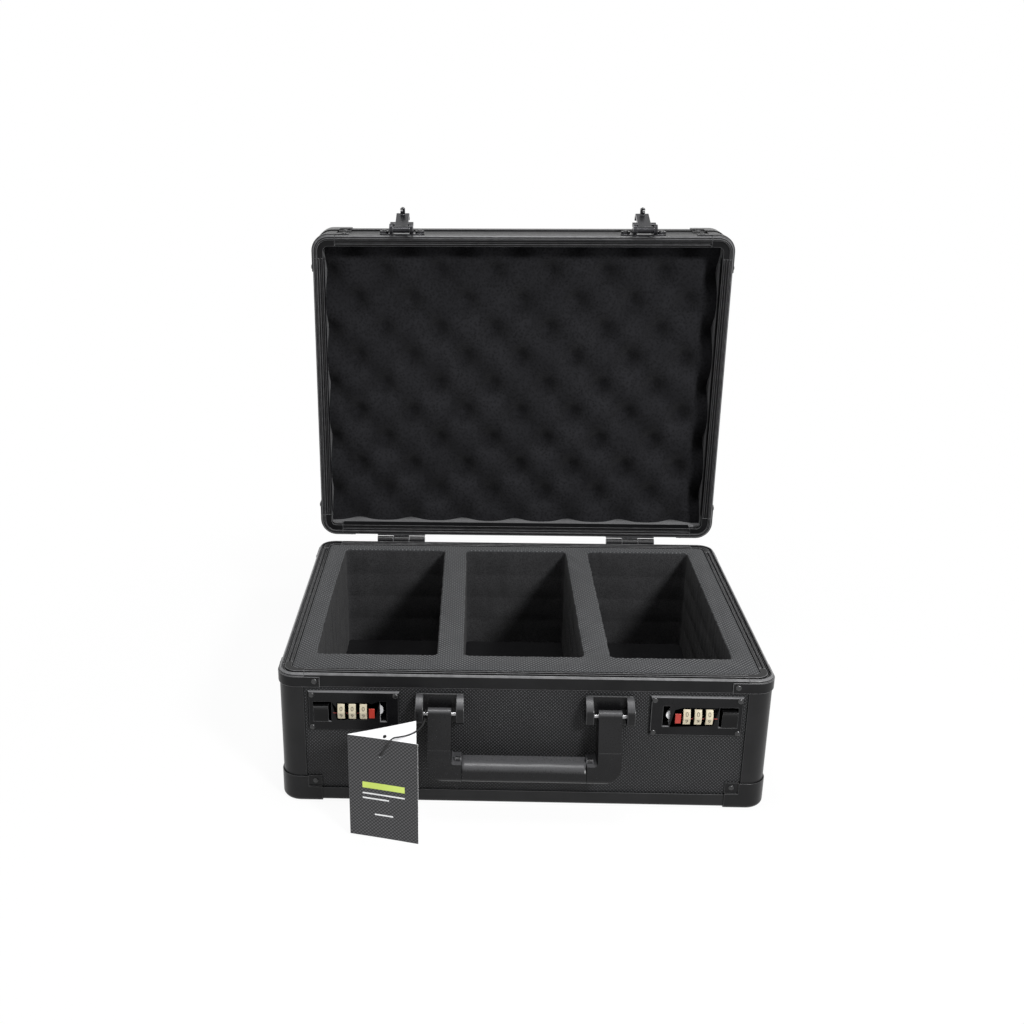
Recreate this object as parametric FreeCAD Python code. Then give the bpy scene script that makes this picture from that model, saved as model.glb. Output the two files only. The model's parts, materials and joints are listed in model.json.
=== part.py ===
import FreeCAD, Part
import math
import os

from FreeCAD import Placement, Rotation, Vector

# Locking case with three foam rows for graded cards, shown with its lid open
# Millimetres; X to the right, Y to the back, Z up; the base is centred on X and Y until the last step

# Overall shell
case_width = 370.0
case_depth = 280.0
base_height = 110.3
lid_height = 58.0
seam_gap = 0.3
open_angle = 90.0

# Wall panels and the edge extrusions that hold them
panel_thickness = 4.0
panel_fit = 0.05
edge_gap = 0.2
skin = 1.5
inner_wall = 1.5
post_leg = 19.5
post_radius = 14.0
post_foot_lift = 1.0
trim_height = 11.2
trim_foot = 14.0
trim_radius = 3.0
trim_slot = 6.8
joint_gap = 0.1

# Stamped corner caps
cap_sheet = 1.0
cap_fit = 0.05
cap_height = 22.5
cap_reach = 31.0
cap_toe = 14.0
cap_inner_bevel = 1.6

# Rim extrusion around the seam
rim_band = 11.0
rim_width = 9.5
rim_lip = 1.3
rim_web = 4.0
rim_bead = 1.2
groove_start = 2.2
groove_width = 2.2
groove_depth = 2.0
second_groove_start = 6.0
second_groove_width = 1.5
tongue_side_fit = 0.4
tongue_height = 1.6
rim_corner_leg = 20.0
rim_tab_reach = 32.0
rim_tab_drop = 2.5

# Rivets
rivet_sides = 6
rivet_head_radius = 2.3
rivet_crown_radius = 1.2
rivet_head_height = 1.1
rim_rivet_inset = 4.0
rim_rivet_drop = 6.2
cap_rivet_inset = 5.0
cap_rivet_drop = 4.5

# Foam
pocket_count = 3
pocket_side_wall = 16.7
pocket_divider = 20.6
pocket_front_wall = 26.0
pocket_back_wall = 12.6
pocket_radius = 3.0
foam_drop = 0.5
foam_fit = 0.2
pad_thickness = 8.0
wave_pitch = 25.5
wave_height = 8.5
wave_setback = 26.0
liner_thickness = 1.5

# Hinges
hinge_offset = 4.5
hinge_inset = 76.0
hinge_width = 45.5
hinge_leaf = 1.2
hinge_leaf_height = 9.5
hinge_leaf_drop = 1.2
hinge_rivet_edge = 3.6
knuckle_count = 3
knuckle_radius = 3.2
knuckle_gap = 0.3
hinge_pin_radius = 1.5
pin_fit = 0.05

# Combination locks; what stands along a plate is listed from its inner end to its outer end
lock_inset = 57.0
lock_drop = 31.0
plate_thickness = 2.2
plate_bevel = 0.9
plate_lap_x = 1.5
plate_lap_z = 2.1
plate_rivet_inset = 3.0
hook_margin = 9.6
hook_slot_width = 5.2
hook_slot_height = 17.3
reset_gap = 3.9
reset_width = 4.4
reset_height = 10.5
reset_rise = 0.6
reset_round = 0.5
reset_flange = 0.8
reset_flange_lip = 1.0
reset_fit = 0.2
reset_travel = 0.8
first_dial_gap = 0.95
dial_count = 3
dial_pitch = 8.35
dial_width = 6.2
dial_radius = 9.6
dial_facets = 10
dial_window_height = 13.6
dial_window_fit = 0.25
dial_back_gap = 1.1
axle_radius = 1.5
cheek_gap = 1.5
cheek_thickness = 1.2
thumb_gap = 4.35
thumb_window_width = 14.0
thumb_window_low = -9.0
thumb_window_high = 7.8
thumb_margin = 3.7
thumb_width = 11.4
thumb_fit = 0.3
thumb_top_fit = 0.2
thumb_rise = 0.3
thumb_scoop = 0.5
thumb_ridge_rise = 1.1
thumb_ridge_foot = 3.2
thumb_ridge_start = 1.6
thumb_ridge_end = 0.4
thumb_flange = 1.0
thumb_flange_lip = 1.2
thumb_side_gap = 0.5
thumb_travel = 2.6
thumb_pin_radius = 1.2
thumb_pin_dz = -2.0
housing_wall = 1.2
housing_fit = 0.2
bar_thickness = 1.8
bar_height = 2.4
bar_lift = 0.2
bar_gap = 1.0
drive_web = 1.5
bolt_radius = 3.7
bolt_reach = 2.4
bolt_thickness = 2.0
bolt_web = 1.2
slide_fit = 0.3
spring_radius = 1.9
spring_wire = 0.5
spring_length = 11.0
spring_standoff = 2.85

# Hasps on the lid
hasp_plate_width = 39.5
hasp_plate_height = 9.5
hasp_plate_lift = 1.2
hasp_plate = 1.2
hasp_end_flat = 0.2
hasp_rivet_inset = 4.2
hasp_boss = 3.4
hasp_boss_radius = 3.9
hasp_ear_span = 20.6
hasp_ear = 3.0
hasp_pivot_out = 6.0
hasp_pivot_drop = 4.0
hasp_ear_radius = 4.4
hasp_pin_radius = 1.5
hasp_knuckle_radius = 3.3
hasp_arm_width = 11.3
hasp_arm_thickness = 3.0
hasp_pull = 5.0
hasp_pull_lip = 2.0
hasp_pull_root = 4.0
hasp_curl_outer = 1.9
hasp_curl_inner = 2.2
hasp_open_angle = 161.0
hook_side_fit = 0.5
hook_thickness = 2.6
hook_head = 3.8
hook_barb = 1.3

# Carrying handle
handle_gap = 12.0
handle_pivot_out = 9.0
handle_drop = 28.0
bracket_width = 36.6
bracket_plate = 2.0
bracket_rise = 13.0
bracket_fall = 11.0
bracket_corner = 2.5
bracket_margin = 1.0
bracket_ear = 6.2
bracket_ear_radius = 5.2
bracket_slope = 52.0
handle_pin_radius = 1.5
arm_width = 17.3
arm_barrel_radius = 4.6
arm_toe = 8.05
arm_crotch = 3.0
arm_taper = 12.0
arm_chin = 4.0
elbow_radius = 17.0
grip_gap = 0.1
grip_below_pivot = 35.0
grip_height = 15.5
grip_back = 4.5
grip_depth = 20.0
grip_round = 5.0
grip_crown_depth = 10.0
grip_crown_drop = 6.0
grip_crown_bulge = 1.9
grip_pin_radius = 2.4
grip_pin_length = 5.0
grip_pin_back = 11.0

# Hang tag folded like a book, and the cord that ties it to the left handle pin
tag_width = 52.0
tag_height = 83.0
tag_card = 0.5
tag_foot = 2.3
tag_spine_x = -127.5
tag_spine_out = 46.9
tag_front_turn = -13.6
tag_back_turn = 23.4
tag_hole_radius = 1.6
tag_hole_along = 23.5
tag_hole_height = 70.7
cord_radius = 0.6
cord_sides = 6
cord_bend = 0.45
cord_points = [(-73.6, -149.5, 84.5), (-73.6, -146.8, 85.2), (-73.6, -144.7, 83.2), (-73.6, -145.2, 80.3),
               (-73.6, -148.4, 79.0), (-74.6, -153.5, 77.7), (-77.2, -160.5, 77.4), (-79.4, -172.0, 79.3),
               (-82.0, -181.6, 82.1), (-86.8, -186.2, 83.9), (-92.8, -188.5, 86.2), (-97.3, -190.7, 87.4),
               (-100.4, -193.3, 87.2), (-102.4, -193.9, 83.9), (-103.7, -193.3, 79.5), (-104.9, -192.6, 72.3),
               (-104.6, -190.2, 70.7)]

# Derived sizes of the shell and foam
half_width = case_width / 2
half_depth = case_depth / 2
frame_depth = skin + panel_thickness + inner_wall
slot_near = skin - panel_fit
slot_far = skin + panel_thickness + panel_fit
cap_proud = cap_sheet + cap_fit
trim_bottom = cap_proud
trim_top = trim_bottom + trim_height
face_y = -half_depth + skin
pin_y = half_depth + hinge_offset
hinge_x = half_width - hinge_inset
lid_seam_z = base_height + seam_gap
lid_top_z = lid_seam_z + lid_height
floor_top = trim_bottom + frame_depth
foam_across = half_width - rim_width - foam_fit
foam_along = half_depth - rim_width - foam_fit
pocket_walls = 2 * pocket_side_wall + (pocket_count - 1) * pocket_divider
pocket_width = (2 * foam_across - pocket_walls) / pocket_count

# Derived sizes of the locks; dx and dz are measured outward and up from the middle of the plate
lock_x = half_width - lock_inset
lock_z = base_height - lock_drop
dial_row = dial_width + (dial_count - 1) * dial_pitch
hook_to_dials = hook_margin + hook_slot_width + reset_gap + reset_width + first_dial_gap
plate_width = hook_to_dials + dial_row + thumb_gap + thumb_window_width + thumb_margin
hook_slot_dx = -plate_width / 2 + hook_margin + hook_slot_width / 2
reset_dx = hook_slot_dx + hook_slot_width / 2 + reset_gap + reset_width / 2
first_dial_dx = -plate_width / 2 + hook_to_dials + dial_width / 2
thumb_outer_dx = plate_width / 2 - thumb_margin
thumb_inner_dx = thumb_outer_dx - thumb_window_width
housing_width = plate_width - 2 * plate_lap_x
housing_height = 2 * (dial_radius + bar_gap + bar_height + bar_lift + housing_wall)
plate_height = housing_height + 2 * plate_lap_z
plate_front_y = face_y - plate_thickness
dial_y = plate_front_y + math.sqrt(dial_radius ** 2 - (dial_window_height / 2) ** 2)
housing_back_y = dial_y + dial_radius + dial_back_gap + housing_wall
bar_y = face_y + slide_fit + bolt_thickness
bar_low = -housing_height / 2 + housing_wall + bar_lift
inner_cheek_dx = hook_slot_dx + hook_slot_width / 2 + bolt_web + thumb_travel + slide_fit
outer_cheek_dx = first_dial_dx + dial_row - dial_width / 2 + cheek_gap
spring_start_dx = inner_cheek_dx + 2 * cheek_thickness
spring_y = bar_y + bar_thickness + spring_radius + spring_standoff
thumb_pin_x = lock_x + thumb_outer_dx - thumb_width / 2

# Derived sizes of the hasps and handle
hasp_x = lock_x + hook_slot_dx
hasp_pivot = Vector(hasp_x, -half_depth - hasp_pivot_out, base_height - hasp_pivot_drop)
handle_x = lock_x - plate_width / 2 - handle_gap - bracket_width / 2
handle_y = face_y - handle_pivot_out
handle_z = base_height - handle_drop
grip_high = handle_z - grip_below_pivot
grip_low = grip_high - grip_height
grip_back_y = face_y - grip_back
grip_front_y = grip_back_y - grip_depth
grip_length = 2 * (handle_x - arm_width / 2 - arm_toe)
corner_share = 1 - math.sqrt(0.5)
touch = 0.001
X, Y, Z = Vector(1, 0, 0), Vector(0, 1, 0), Vector(0, 0, 1)


def box(x0, x1, y0, y1, z0, z1):
    return Part.makeBox(x1 - x0, y1 - y0, z1 - z0, Vector(x0, y0, z0))


def rod(start, direction, length, radius):
    return Part.makeCylinder(radius, length, start, direction)


def fuse(shapes):
    return shapes[0].multiFuse(shapes[1:]).removeSplitter()


def flip_x(shape):
    return shape.mirror(Vector(), X)


def flip_y(shape):
    return shape.mirror(Vector(), Y)


def both_sides(shape):
    return [shape, flip_x(shape)]


def four_corners(shape):
    return both_sides(shape) + both_sides(flip_y(shape))


def face_from(points, arcs=()):
    # Straight edges join the points in turn; an arc replaces the edge that leaves its start point
    bends = dict(arcs)
    edges = []
    for index, start in enumerate(points):
        end = points[(index + 1) % len(points)]
        if index in bends:
            edges.append(Part.Arc(Vector(*start), Vector(*bends[index]), Vector(*end)).toShape())
        else:
            edges.append(Part.LineSegment(Vector(*start), Vector(*end)).toShape())
    return Part.Face(Part.Wire(edges))


def bowed(start, end, rise):
    # Middle of an arc that stands off its chord by rise, to the right of the way from start to end
    run, climb = end[0] - start[0], end[1] - start[1]
    share = rise / math.hypot(run, climb)
    return ((start[0] + end[0]) / 2 + share * climb, (start[1] + end[1]) / 2 - share * run)


def along_x(points_yz, x0, x1, arcs=()):
    # A side outline given as (y, z) points, carried from x0 to x1
    points = [(x0, y, z) for y, z in points_yz]
    bends = [(index, (x0, y, z)) for index, (y, z) in arcs]
    return face_from(points, bends).extrude(Vector(x1 - x0, 0, 0))


def along_y(points_xz, y0, y1, arcs=()):
    # A front outline given as (x, z) points, carried from y0 to y1
    points = [(x, y0, z) for x, z in points_xz]
    bends = [(index, (x, y0, z)) for index, (x, z) in arcs]
    return face_from(points, bends).extrude(Vector(0, y1 - y0, 0))


def ring_of(point, direction, radius, sides):
    # Corners of a regular outline square to the direction
    side = direction.cross(Z if abs(direction.z) < 0.9 * direction.Length else X).normalize()
    return [point + Rotation(direction, 360.0 * k / sides).multVec(side * radius) for k in range(sides)]


def flat_face(corners):
    return Part.Face(Part.makePolygon(corners + corners[:1]))


def closed_solid(faces):
    shell = Part.makeShell(faces)
    shell.sewShape()
    solid = Part.makeSolid(shell)
    return solid if solid.Volume > 0 else solid.reversed()


def rivet(point, inward):
    # Low many-sided head set on the sheet that it holds
    crown = ring_of(point - inward * rivet_head_height, inward, rivet_crown_radius, rivet_sides)
    brim = ring_of(point, inward, rivet_head_radius, rivet_sides)
    faces = [flat_face(crown), flat_face(brim)]
    for k in range(rivet_sides):
        faces.append(flat_face([crown[k - 1], crown[k], brim[k], brim[k - 1]]))
    return closed_solid(faces)


# Shell pieces in shell coordinates: Z runs from the outer face at 0 to the seam at the shell height

def edge_profile(leg_a, leg_b, radius, slot):
    # Rounded corner with a channel in each leg for the panel edges
    points = [(0, radius), (0, leg_b), (slot_near, leg_b), (slot_near, slot), (slot_far, slot),
              (slot_far, leg_b), (frame_depth, leg_b), (frame_depth, frame_depth), (leg_a, frame_depth),
              (leg_a, slot_far), (slot, slot_far), (slot, slot_near), (leg_a, slot_near), (leg_a, 0),
              (radius, 0)]
    inset = radius * corner_share
    return face_from([(a, b, 0) for a, b in points], [(len(points) - 1, (inset, inset, 0))])


def corner_posts(height):
    foot = trim_bottom + trim_radius + post_foot_lift
    post = edge_profile(post_leg, post_leg, post_radius, post_radius)
    post = post.extrude(Vector(0, 0, height - rim_band - foot))
    post.translate(Vector(-half_width, -half_depth, foot))
    return four_corners(post)


def run_along_front(face, gap):
    # Local x goes to Y and local y to Z, so the profile runs along X between the corners
    rail = face.extrude(Vector(0, 0, case_width - 2 * gap))
    rail.Placement = Placement(Vector(-half_width + gap, -half_depth, 0), Rotation(Vector(1, 1, 1), 120))
    return rail


def run_along_left(face, gap):
    # Local x stays on X and local y goes to Z, so the profile runs along Y
    rail = face.extrude(Vector(0, 0, case_depth - 2 * gap))
    rail.Placement = Placement(Vector(-half_width, half_depth - gap, 0), Rotation(X, 90))
    return rail


def four_rails(face, gap, lift):
    front = run_along_front(face, gap)
    left = run_along_left(face, gap)
    front.translate(Vector(0, 0, lift))
    left.translate(Vector(0, 0, lift))
    return [front, flip_y(front), left, flip_x(left)]


def edge_trims():
    profile = edge_profile(trim_foot, trim_height, trim_radius, trim_slot)
    return four_rails(profile, post_leg + joint_gap, trim_bottom)


def rim_seam(tongue):
    # Groove in the base rim, or the tongue on the lid rim that drops into it
    groove_end = groove_start + groove_width
    if tongue:
        start, end = groove_start + tongue_side_fit, groove_end - tongue_side_fit
        return [(start, 0), (start, tongue_height), (end, tongue_height), (end, 0)]
    return [(groove_start, 0), (groove_start, -groove_depth), (groove_end, -groove_depth), (groove_end, 0)]


# Outlines across the rim: x runs inward from the outer face, y runs from the seam at 0 towards the panel

def rail_profile(tongue):
    second_end = second_groove_start + second_groove_width
    points = [(0, -rim_band), (0, -rim_bead), (rim_bead, 0)] + rim_seam(tongue)
    points += [(second_groove_start, 0), (second_groove_start, -groove_depth)]
    points += [(second_end, -groove_depth), (second_end, 0)]
    points += [(rim_width, 0), (rim_width, -rim_band)]
    points += [(rim_width - rim_lip, -rim_band), (rim_width - rim_lip, -rim_web)]
    points += [(frame_depth, -rim_web), (frame_depth, -rim_band), (slot_far, -rim_band), (slot_far, -rim_web)]
    points += [(slot_near, -rim_web), (slot_near, -rim_band)]
    return face_from([(x, y, 0) for x, y in points])


def corner_profile(tongue):
    # Cast corner: a proud skirt, the seam, and a flat underside over the panels
    points = [(-cap_proud, -rim_band), (-cap_proud, -rim_tab_drop), (0, -rim_tab_drop)]
    points += [(0, -rim_bead), (rim_bead, 0)] + rim_seam(tongue)
    points += [(rim_width, 0), (rim_width, -rim_web), (slot_near, -rim_web), (slot_near, -rim_band)]
    return face_from([(x, y, 0) for x, y in points])


def rim_rails(height, tongue):
    return four_rails(rail_profile(tongue), rim_corner_leg + joint_gap, height)


def rim_corners(height, tongue):
    # The rim profile bent round the corner, with a tab each way over the ends of the rails
    face = corner_profile(tongue)
    start = Vector(-half_width + post_radius, -half_depth, height)
    face.Placement = Placement(start, Rotation(Vector(1, 1, 1), 120))
    centre = Vector(-half_width + post_radius, -half_depth + post_radius, 0)
    bend = face.revolve(centre, Z, -90)
    front = face.extrude(Vector(rim_corner_leg - post_radius, 0, 0))
    tab = box(-half_width + rim_corner_leg, -half_width + rim_tab_reach, -half_depth - cap_proud,
              -half_depth - cap_fit, height - rim_band, height - rim_tab_drop)
    front = fuse([front, tab])
    side = front.mirror(centre, Vector(1, -1, 0))
    return four_corners(fuse([bend, front, side]))


def corner_block(near, reach, low, high, radius):
    # Block at the left front corner, rounded in plan, and the lower edges of its outer faces
    inset = near + radius * corner_share
    points = [(near, near + radius, low), (near, reach, low), (reach, reach, low), (reach, near, low),
              (near + radius, near, low)]
    block = face_from(points, [(4, (inset, inset, low))]).extrude(Vector(0, 0, high - low))
    lower = [e for e in block.Edges if e.BoundBox.ZMax < low + touch]
    return block, [e for e in lower if e.BoundBox.XMin < reach - touch and e.BoundBox.YMin < reach - touch]


def cap_tab():
    # Joggled tab that steps from the trim face down on to the panel
    start = post_leg + joint_gap
    low = trim_top + cap_fit
    flat = box(start, cap_reach, skin - cap_sheet, skin, low, cap_height)
    shelf = box(start, cap_reach, -cap_proud, skin, low, low + cap_sheet)
    step = box(start, start + cap_sheet, -cap_proud, skin, low, cap_height)
    return fuse([flat, shelf, step])


def corner_caps():
    outer, feet = corner_block(-cap_proud, cap_reach, 0, cap_height, post_radius + cap_proud)
    outer = outer.makeFillet(trim_radius + cap_proud, feet)
    inner, edges = corner_block(-cap_fit, cap_reach + cap_sheet, cap_sheet, cap_height + cap_sheet,
                                post_radius + cap_fit)
    shell = outer.cut(inner.makeChamfer(cap_inner_bevel, edges))
    above = trim_top + cap_fit + cap_sheet
    start = post_leg + joint_gap + cap_sheet
    past, proud = cap_reach + cap_sheet, cap_proud + cap_sheet
    shell = shell.cut(box(start, past, -proud, 0, above, cap_height))
    shell = shell.cut(box(-proud, 0, start, past, above, cap_height))
    toe = [(cap_reach, cap_toe, 0), (cap_toe, cap_reach, 0), (cap_reach, cap_reach, 0)]
    shell = shell.cut(face_from(toe).extrude(Vector(0, 0, cap_height)))
    tab = cap_tab()
    cap = fuse([shell, tab, tab.mirror(Vector(), Vector(1, -1, 0))])
    cap.translate(Vector(-half_width, -half_depth, 0))
    return four_corners(cap)


def shell_rivets(height):
    # Two rim rivets and two cap rivets at each corner
    rim_z = height - rim_rivet_drop
    rim_reach = rim_tab_reach - rim_rivet_inset
    cap_z = cap_height - cap_rivet_drop
    cap_in = cap_reach - cap_rivet_inset
    front = [rivet(Vector(-half_width + rim_reach, -half_depth - cap_proud, rim_z), Y),
             rivet(Vector(-half_width + cap_in, face_y - cap_sheet, cap_z), Y)]
    left = [rivet(Vector(-half_width - cap_proud, -half_depth + rim_reach, rim_z), X),
            rivet(Vector(-half_width + skin - cap_sheet, -half_depth + cap_in, cap_z), X)]
    return [copy for item in front + left for copy in four_corners(item)]


def wall_panels(height):
    low = trim_bottom + trim_slot + edge_gap
    high = height - rim_web - edge_gap
    across = half_width - post_radius - edge_gap
    along = half_depth - post_radius - edge_gap
    front = box(-across, across, face_y, face_y + panel_thickness, low, high)
    left = box(-half_width + skin, -half_width + skin + panel_thickness, -along, along, low, high)
    return front, flip_y(front), [left, flip_x(left)]


def flat_panel():
    across = half_width - trim_slot - edge_gap
    along = half_depth - trim_slot - edge_gap
    low = trim_bottom + skin
    return box(-across, across, -along, along, low, low + panel_thickness)


# Foam

def foam_pad():
    return box(-foam_across, foam_across, -foam_along, foam_along, floor_top, floor_top + pad_thickness)


def rounded_uprights(block, radius):
    upright = [e for e in block.Edges if e.BoundBox.ZLength > block.BoundBox.ZLength - touch]
    return block.makeFillet(radius, upright)


def foam_insert():
    # Block with one open row for each pocket, rounded to the inside of the rim corners
    low = floor_top + pad_thickness
    high = base_height - foam_drop
    corner = max(post_radius - rim_width - foam_fit, foam_fit)
    block = rounded_uprights(box(-foam_across, foam_across, -foam_along, foam_along, low, high), corner)
    front = -foam_along + pocket_front_wall
    back = foam_along - pocket_back_wall
    for index in range(pocket_count):
        left = -foam_across + pocket_side_wall + index * (pocket_width + pocket_divider)
        pocket = box(left, left + pocket_width, front, back, low, high)
        block = block.cut(rounded_uprights(pocket, pocket_radius))
    # Open below, so the block drops over the lock housings
    reach = housing_width / 2 + foam_fit
    notch = box(lock_x - reach, lock_x + reach, -foam_along, housing_back_y + foam_fit, low,
                lock_z + housing_height / 2 + foam_fit)
    return block.cut(Part.makeCompound(both_sides(notch)))


def lid_foam():
    # Egg-crate sheet: crests and hollows swap from cell to cell, with a saddle in the middle of each
    across = half_width - frame_depth - liner_thickness - 2 * foam_fit
    along = half_depth - frame_depth - liner_thickness - 2 * foam_fit
    columns = round(2 * across / wave_pitch)
    rows = round(2 * along / wave_pitch)
    mean = lid_height - wave_setback

    def crest(i, j):
        rise = wave_height * (-1) ** (i + j)
        return Vector(-across + i * 2 * across / columns, -along + j * 2 * along / rows, mean + rise)

    faces = []
    for i in range(columns):
        for j in range(rows):
            cell = [crest(i, j), crest(i + 1, j), crest(i + 1, j + 1), crest(i, j + 1)]
            saddle = (cell[0] + cell[1] + cell[2] + cell[3]) / 4
            faces += [flat_face([cell[k - 1], cell[k], saddle]) for k in range(4)]
    back = [Vector(sx * across, sy * along, floor_top) for sx, sy in ((-1, -1), (1, -1), (1, 1), (-1, 1))]
    faces.append(flat_face(back))
    faces.append(flat_face([back[1], back[0]] + [crest(i, 0) for i in range(columns + 1)]))
    faces.append(flat_face([back[2], back[3]] + [crest(i, rows) for i in range(columns + 1)]))
    faces.append(flat_face([back[3], back[0]] + [crest(0, j) for j in range(rows + 1)]))
    faces.append(flat_face([back[2], back[1]] + [crest(columns, j) for j in range(rows + 1)]))
    return closed_solid(faces)


def lid_liner():
    outer_x = half_width - frame_depth - foam_fit / 2
    outer_y = half_depth - frame_depth - foam_fit / 2
    inner_x = outer_x - liner_thickness
    inner_y = outer_y - liner_thickness
    high = lid_height - rim_band - edge_gap
    tube = box(-outer_x, outer_x, -outer_y, outer_y, floor_top, high)
    return tube.cut(box(-inner_x, inner_x, -inner_y, inner_y, floor_top, high))


# Hinges, in closed case coordinates

def hinge_leaf_piece(fingers, up):
    # One leaf on the rim band with its share of the knuckles round the pin
    first = hinge_x - hinge_width / 2
    pitch = hinge_width / knuckle_count
    sign = 1 if up else -1
    near = base_height + sign * hinge_leaf_drop
    far = near + sign * hinge_leaf_height
    low, high = min(near, far), max(near, far)
    pieces = [box(first, first + hinge_width, half_depth, half_depth + hinge_leaf, low, high)]
    web_out = base_height + sign * knuckle_radius
    web_in = base_height + sign * (hinge_pin_radius + 2 * pin_fit)
    for index in fingers:
        x0 = first + index * pitch + knuckle_gap / 2
        x1 = x0 + pitch - knuckle_gap
        pieces.append(rod(Vector(x0, pin_y, base_height), X, x1 - x0, knuckle_radius))
        pieces.append(box(x0, x1, half_depth, pin_y, min(web_in, web_out), max(web_in, web_out)))
    bore = hinge_pin_radius + (pin_fit if up else 0)
    return fuse(pieces).cut(rod(Vector(first, pin_y, base_height), X, hinge_width, bore))


def hinge_pin():
    return rod(Vector(hinge_x - hinge_width / 2, pin_y, base_height), X, hinge_width, hinge_pin_radius)


def hinge_rivets(up):
    sign = 1 if up else -1
    z = base_height + sign * (hinge_leaf_drop + hinge_leaf_height - hinge_rivet_edge)
    spots = [hinge_x - hinge_width / 3, hinge_x, hinge_x + hinge_width / 3]
    right = [rivet(Vector(x, half_depth + hinge_leaf, z), -Y) for x in spots]
    return [copy for item in right for copy in both_sides(item)]


# Locks, built on the right and mirrored to the left

def lock_box(dx0, dx1, y0, y1, dz0, dz1):
    return box(lock_x + dx0, lock_x + dx1, y0, y1, lock_z + dz0, lock_z + dz1)


def dial_offsets():
    return [first_dial_dx + index * dial_pitch for index in range(dial_count)]


def lock_plate():
    half_w, half_h = plate_width / 2, plate_height / 2
    plate = lock_box(-half_w, half_w, plate_front_y, face_y, -half_h, half_h)
    front_edges = [e for e in plate.Edges if e.BoundBox.YMax < plate_front_y + touch]
    plate = plate.makeChamfer(plate_bevel, front_edges)
    slot_half = hook_slot_width / 2
    reset_half, reset_tall = reset_width / 2 + reset_fit, reset_height / 2 + reset_fit
    slot_tall = hook_slot_height / 2
    spans = [(hook_slot_dx - slot_half, hook_slot_dx + slot_half, -slot_tall, slot_tall),
             (reset_dx - reset_half, reset_dx + reset_half, -reset_tall, reset_tall),
             (thumb_inner_dx, thumb_outer_dx, thumb_window_low, thumb_window_high)]
    cuts = [lock_box(dx0, dx1, plate_front_y, face_y, dz0, dz1) for dx0, dx1, dz0, dz1 in spans]
    window = dial_width / 2 + dial_window_fit
    for dx in dial_offsets():
        start = Vector(lock_x + dx - window, dial_y, lock_z)
        cuts.append(rod(start, X, 2 * window, dial_radius + dial_window_fit))
    return plate.cut(Part.makeCompound(cuts))


def lock_rivets():
    half_w = plate_width / 2 - plate_rivet_inset
    half_h = plate_height / 2 - plate_rivet_inset
    return [rivet(Vector(lock_x + sx * half_w, plate_front_y, lock_z + sz * half_h), Y)
            for sx in (-1, 1) for sz in (-1, 1)]


def lock_housing():
    # Open-fronted box behind the plate, with two cheeks for the dial axle and a stop for the spring
    half_w, half_h = housing_width / 2, housing_height / 2
    floor = -half_h + housing_wall
    inside = housing_back_y - housing_wall
    outer = lock_box(-half_w, half_w, face_y, housing_back_y, -half_h, half_h)
    side = half_w - housing_wall
    pieces = [outer.cut(lock_box(-side, side, face_y, inside, floor, -floor))]
    cheek_front = face_y + reset_fit + reset_flange + reset_travel + slide_fit
    for dx in (inner_cheek_dx, outer_cheek_dx):
        pieces.append(lock_box(dx, dx + cheek_thickness, cheek_front, inside, -2 * bolt_radius, -floor))
    stop = spring_start_dx + spring_length
    pieces.append(lock_box(stop, stop + cheek_thickness, spring_y - spring_radius, inside, floor,
                           floor + 2 * spring_radius - spring_wire))
    return fuse(pieces).cut(dial_axle())


def dial_axle():
    start = Vector(lock_x + inner_cheek_dx, dial_y, lock_z)
    return rod(start, X, outer_cheek_dx + cheek_thickness - inner_cheek_dx, axle_radius)


def lock_dial(dx):
    # Ten flats with an edge to the front, so two digits show
    turn = 2 * math.pi / dial_facets
    corners = [(dial_y - dial_radius * math.cos(k * turn), lock_z + dial_radius * math.sin(k * turn))
               for k in range(dial_facets)]
    x0 = lock_x + dx - dial_width / 2
    wheel = along_x(corners, x0, x0 + dial_width)
    return wheel.cut(rod(Vector(x0, dial_y, lock_z), X, dial_width, axle_radius + pin_fit))


def reset_tab():
    half_w, half_h = reset_width / 2, reset_height / 2
    front = plate_front_y - reset_rise
    seat = face_y + reset_fit
    button = lock_box(reset_dx - half_w, reset_dx + half_w, front, seat, -half_h, half_h)
    button = button.makeFillet(reset_round, [e for e in button.Edges if e.BoundBox.YMax < front + touch])
    tall = half_h + reset_flange_lip
    flange = lock_box(reset_dx - half_w, reset_dx + half_w, seat, seat + reset_flange, -tall, tall)
    return fuse([button, flange])


def thumb_slide():
    # Scooped thumb piece with a ridge along its top, a flange behind the plate and a drive pin
    x1 = lock_x + thumb_outer_dx - thumb_fit
    low = lock_z + thumb_window_low + thumb_fit
    high = lock_z + thumb_window_high - thumb_travel - thumb_top_fit
    front = plate_front_y - thumb_rise
    ridge = front - thumb_ridge_rise
    back = face_y + thumb_fit
    points = [(back, low), (front, low), (front, high - thumb_ridge_foot), (ridge, high - thumb_ridge_start),
              (ridge, high - thumb_ridge_end), (back, high)]
    body = along_x(points, x1 - thumb_width, x1, [(1, bowed(points[1], points[2], thumb_scoop))])
    side = housing_width / 2 - housing_wall - thumb_side_gap
    flange = box(lock_x + thumb_inner_dx + thumb_fit, lock_x + side, back, back + thumb_flange,
                 low - thumb_flange_lip, high + thumb_flange_lip)
    root = back + thumb_flange
    pin_start = Vector(thumb_pin_x, root, lock_z + thumb_pin_dz)
    pin = rod(pin_start, Y, bar_y + bar_thickness - root, thumb_pin_radius)
    return fuse([body, flange, pin])


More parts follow.
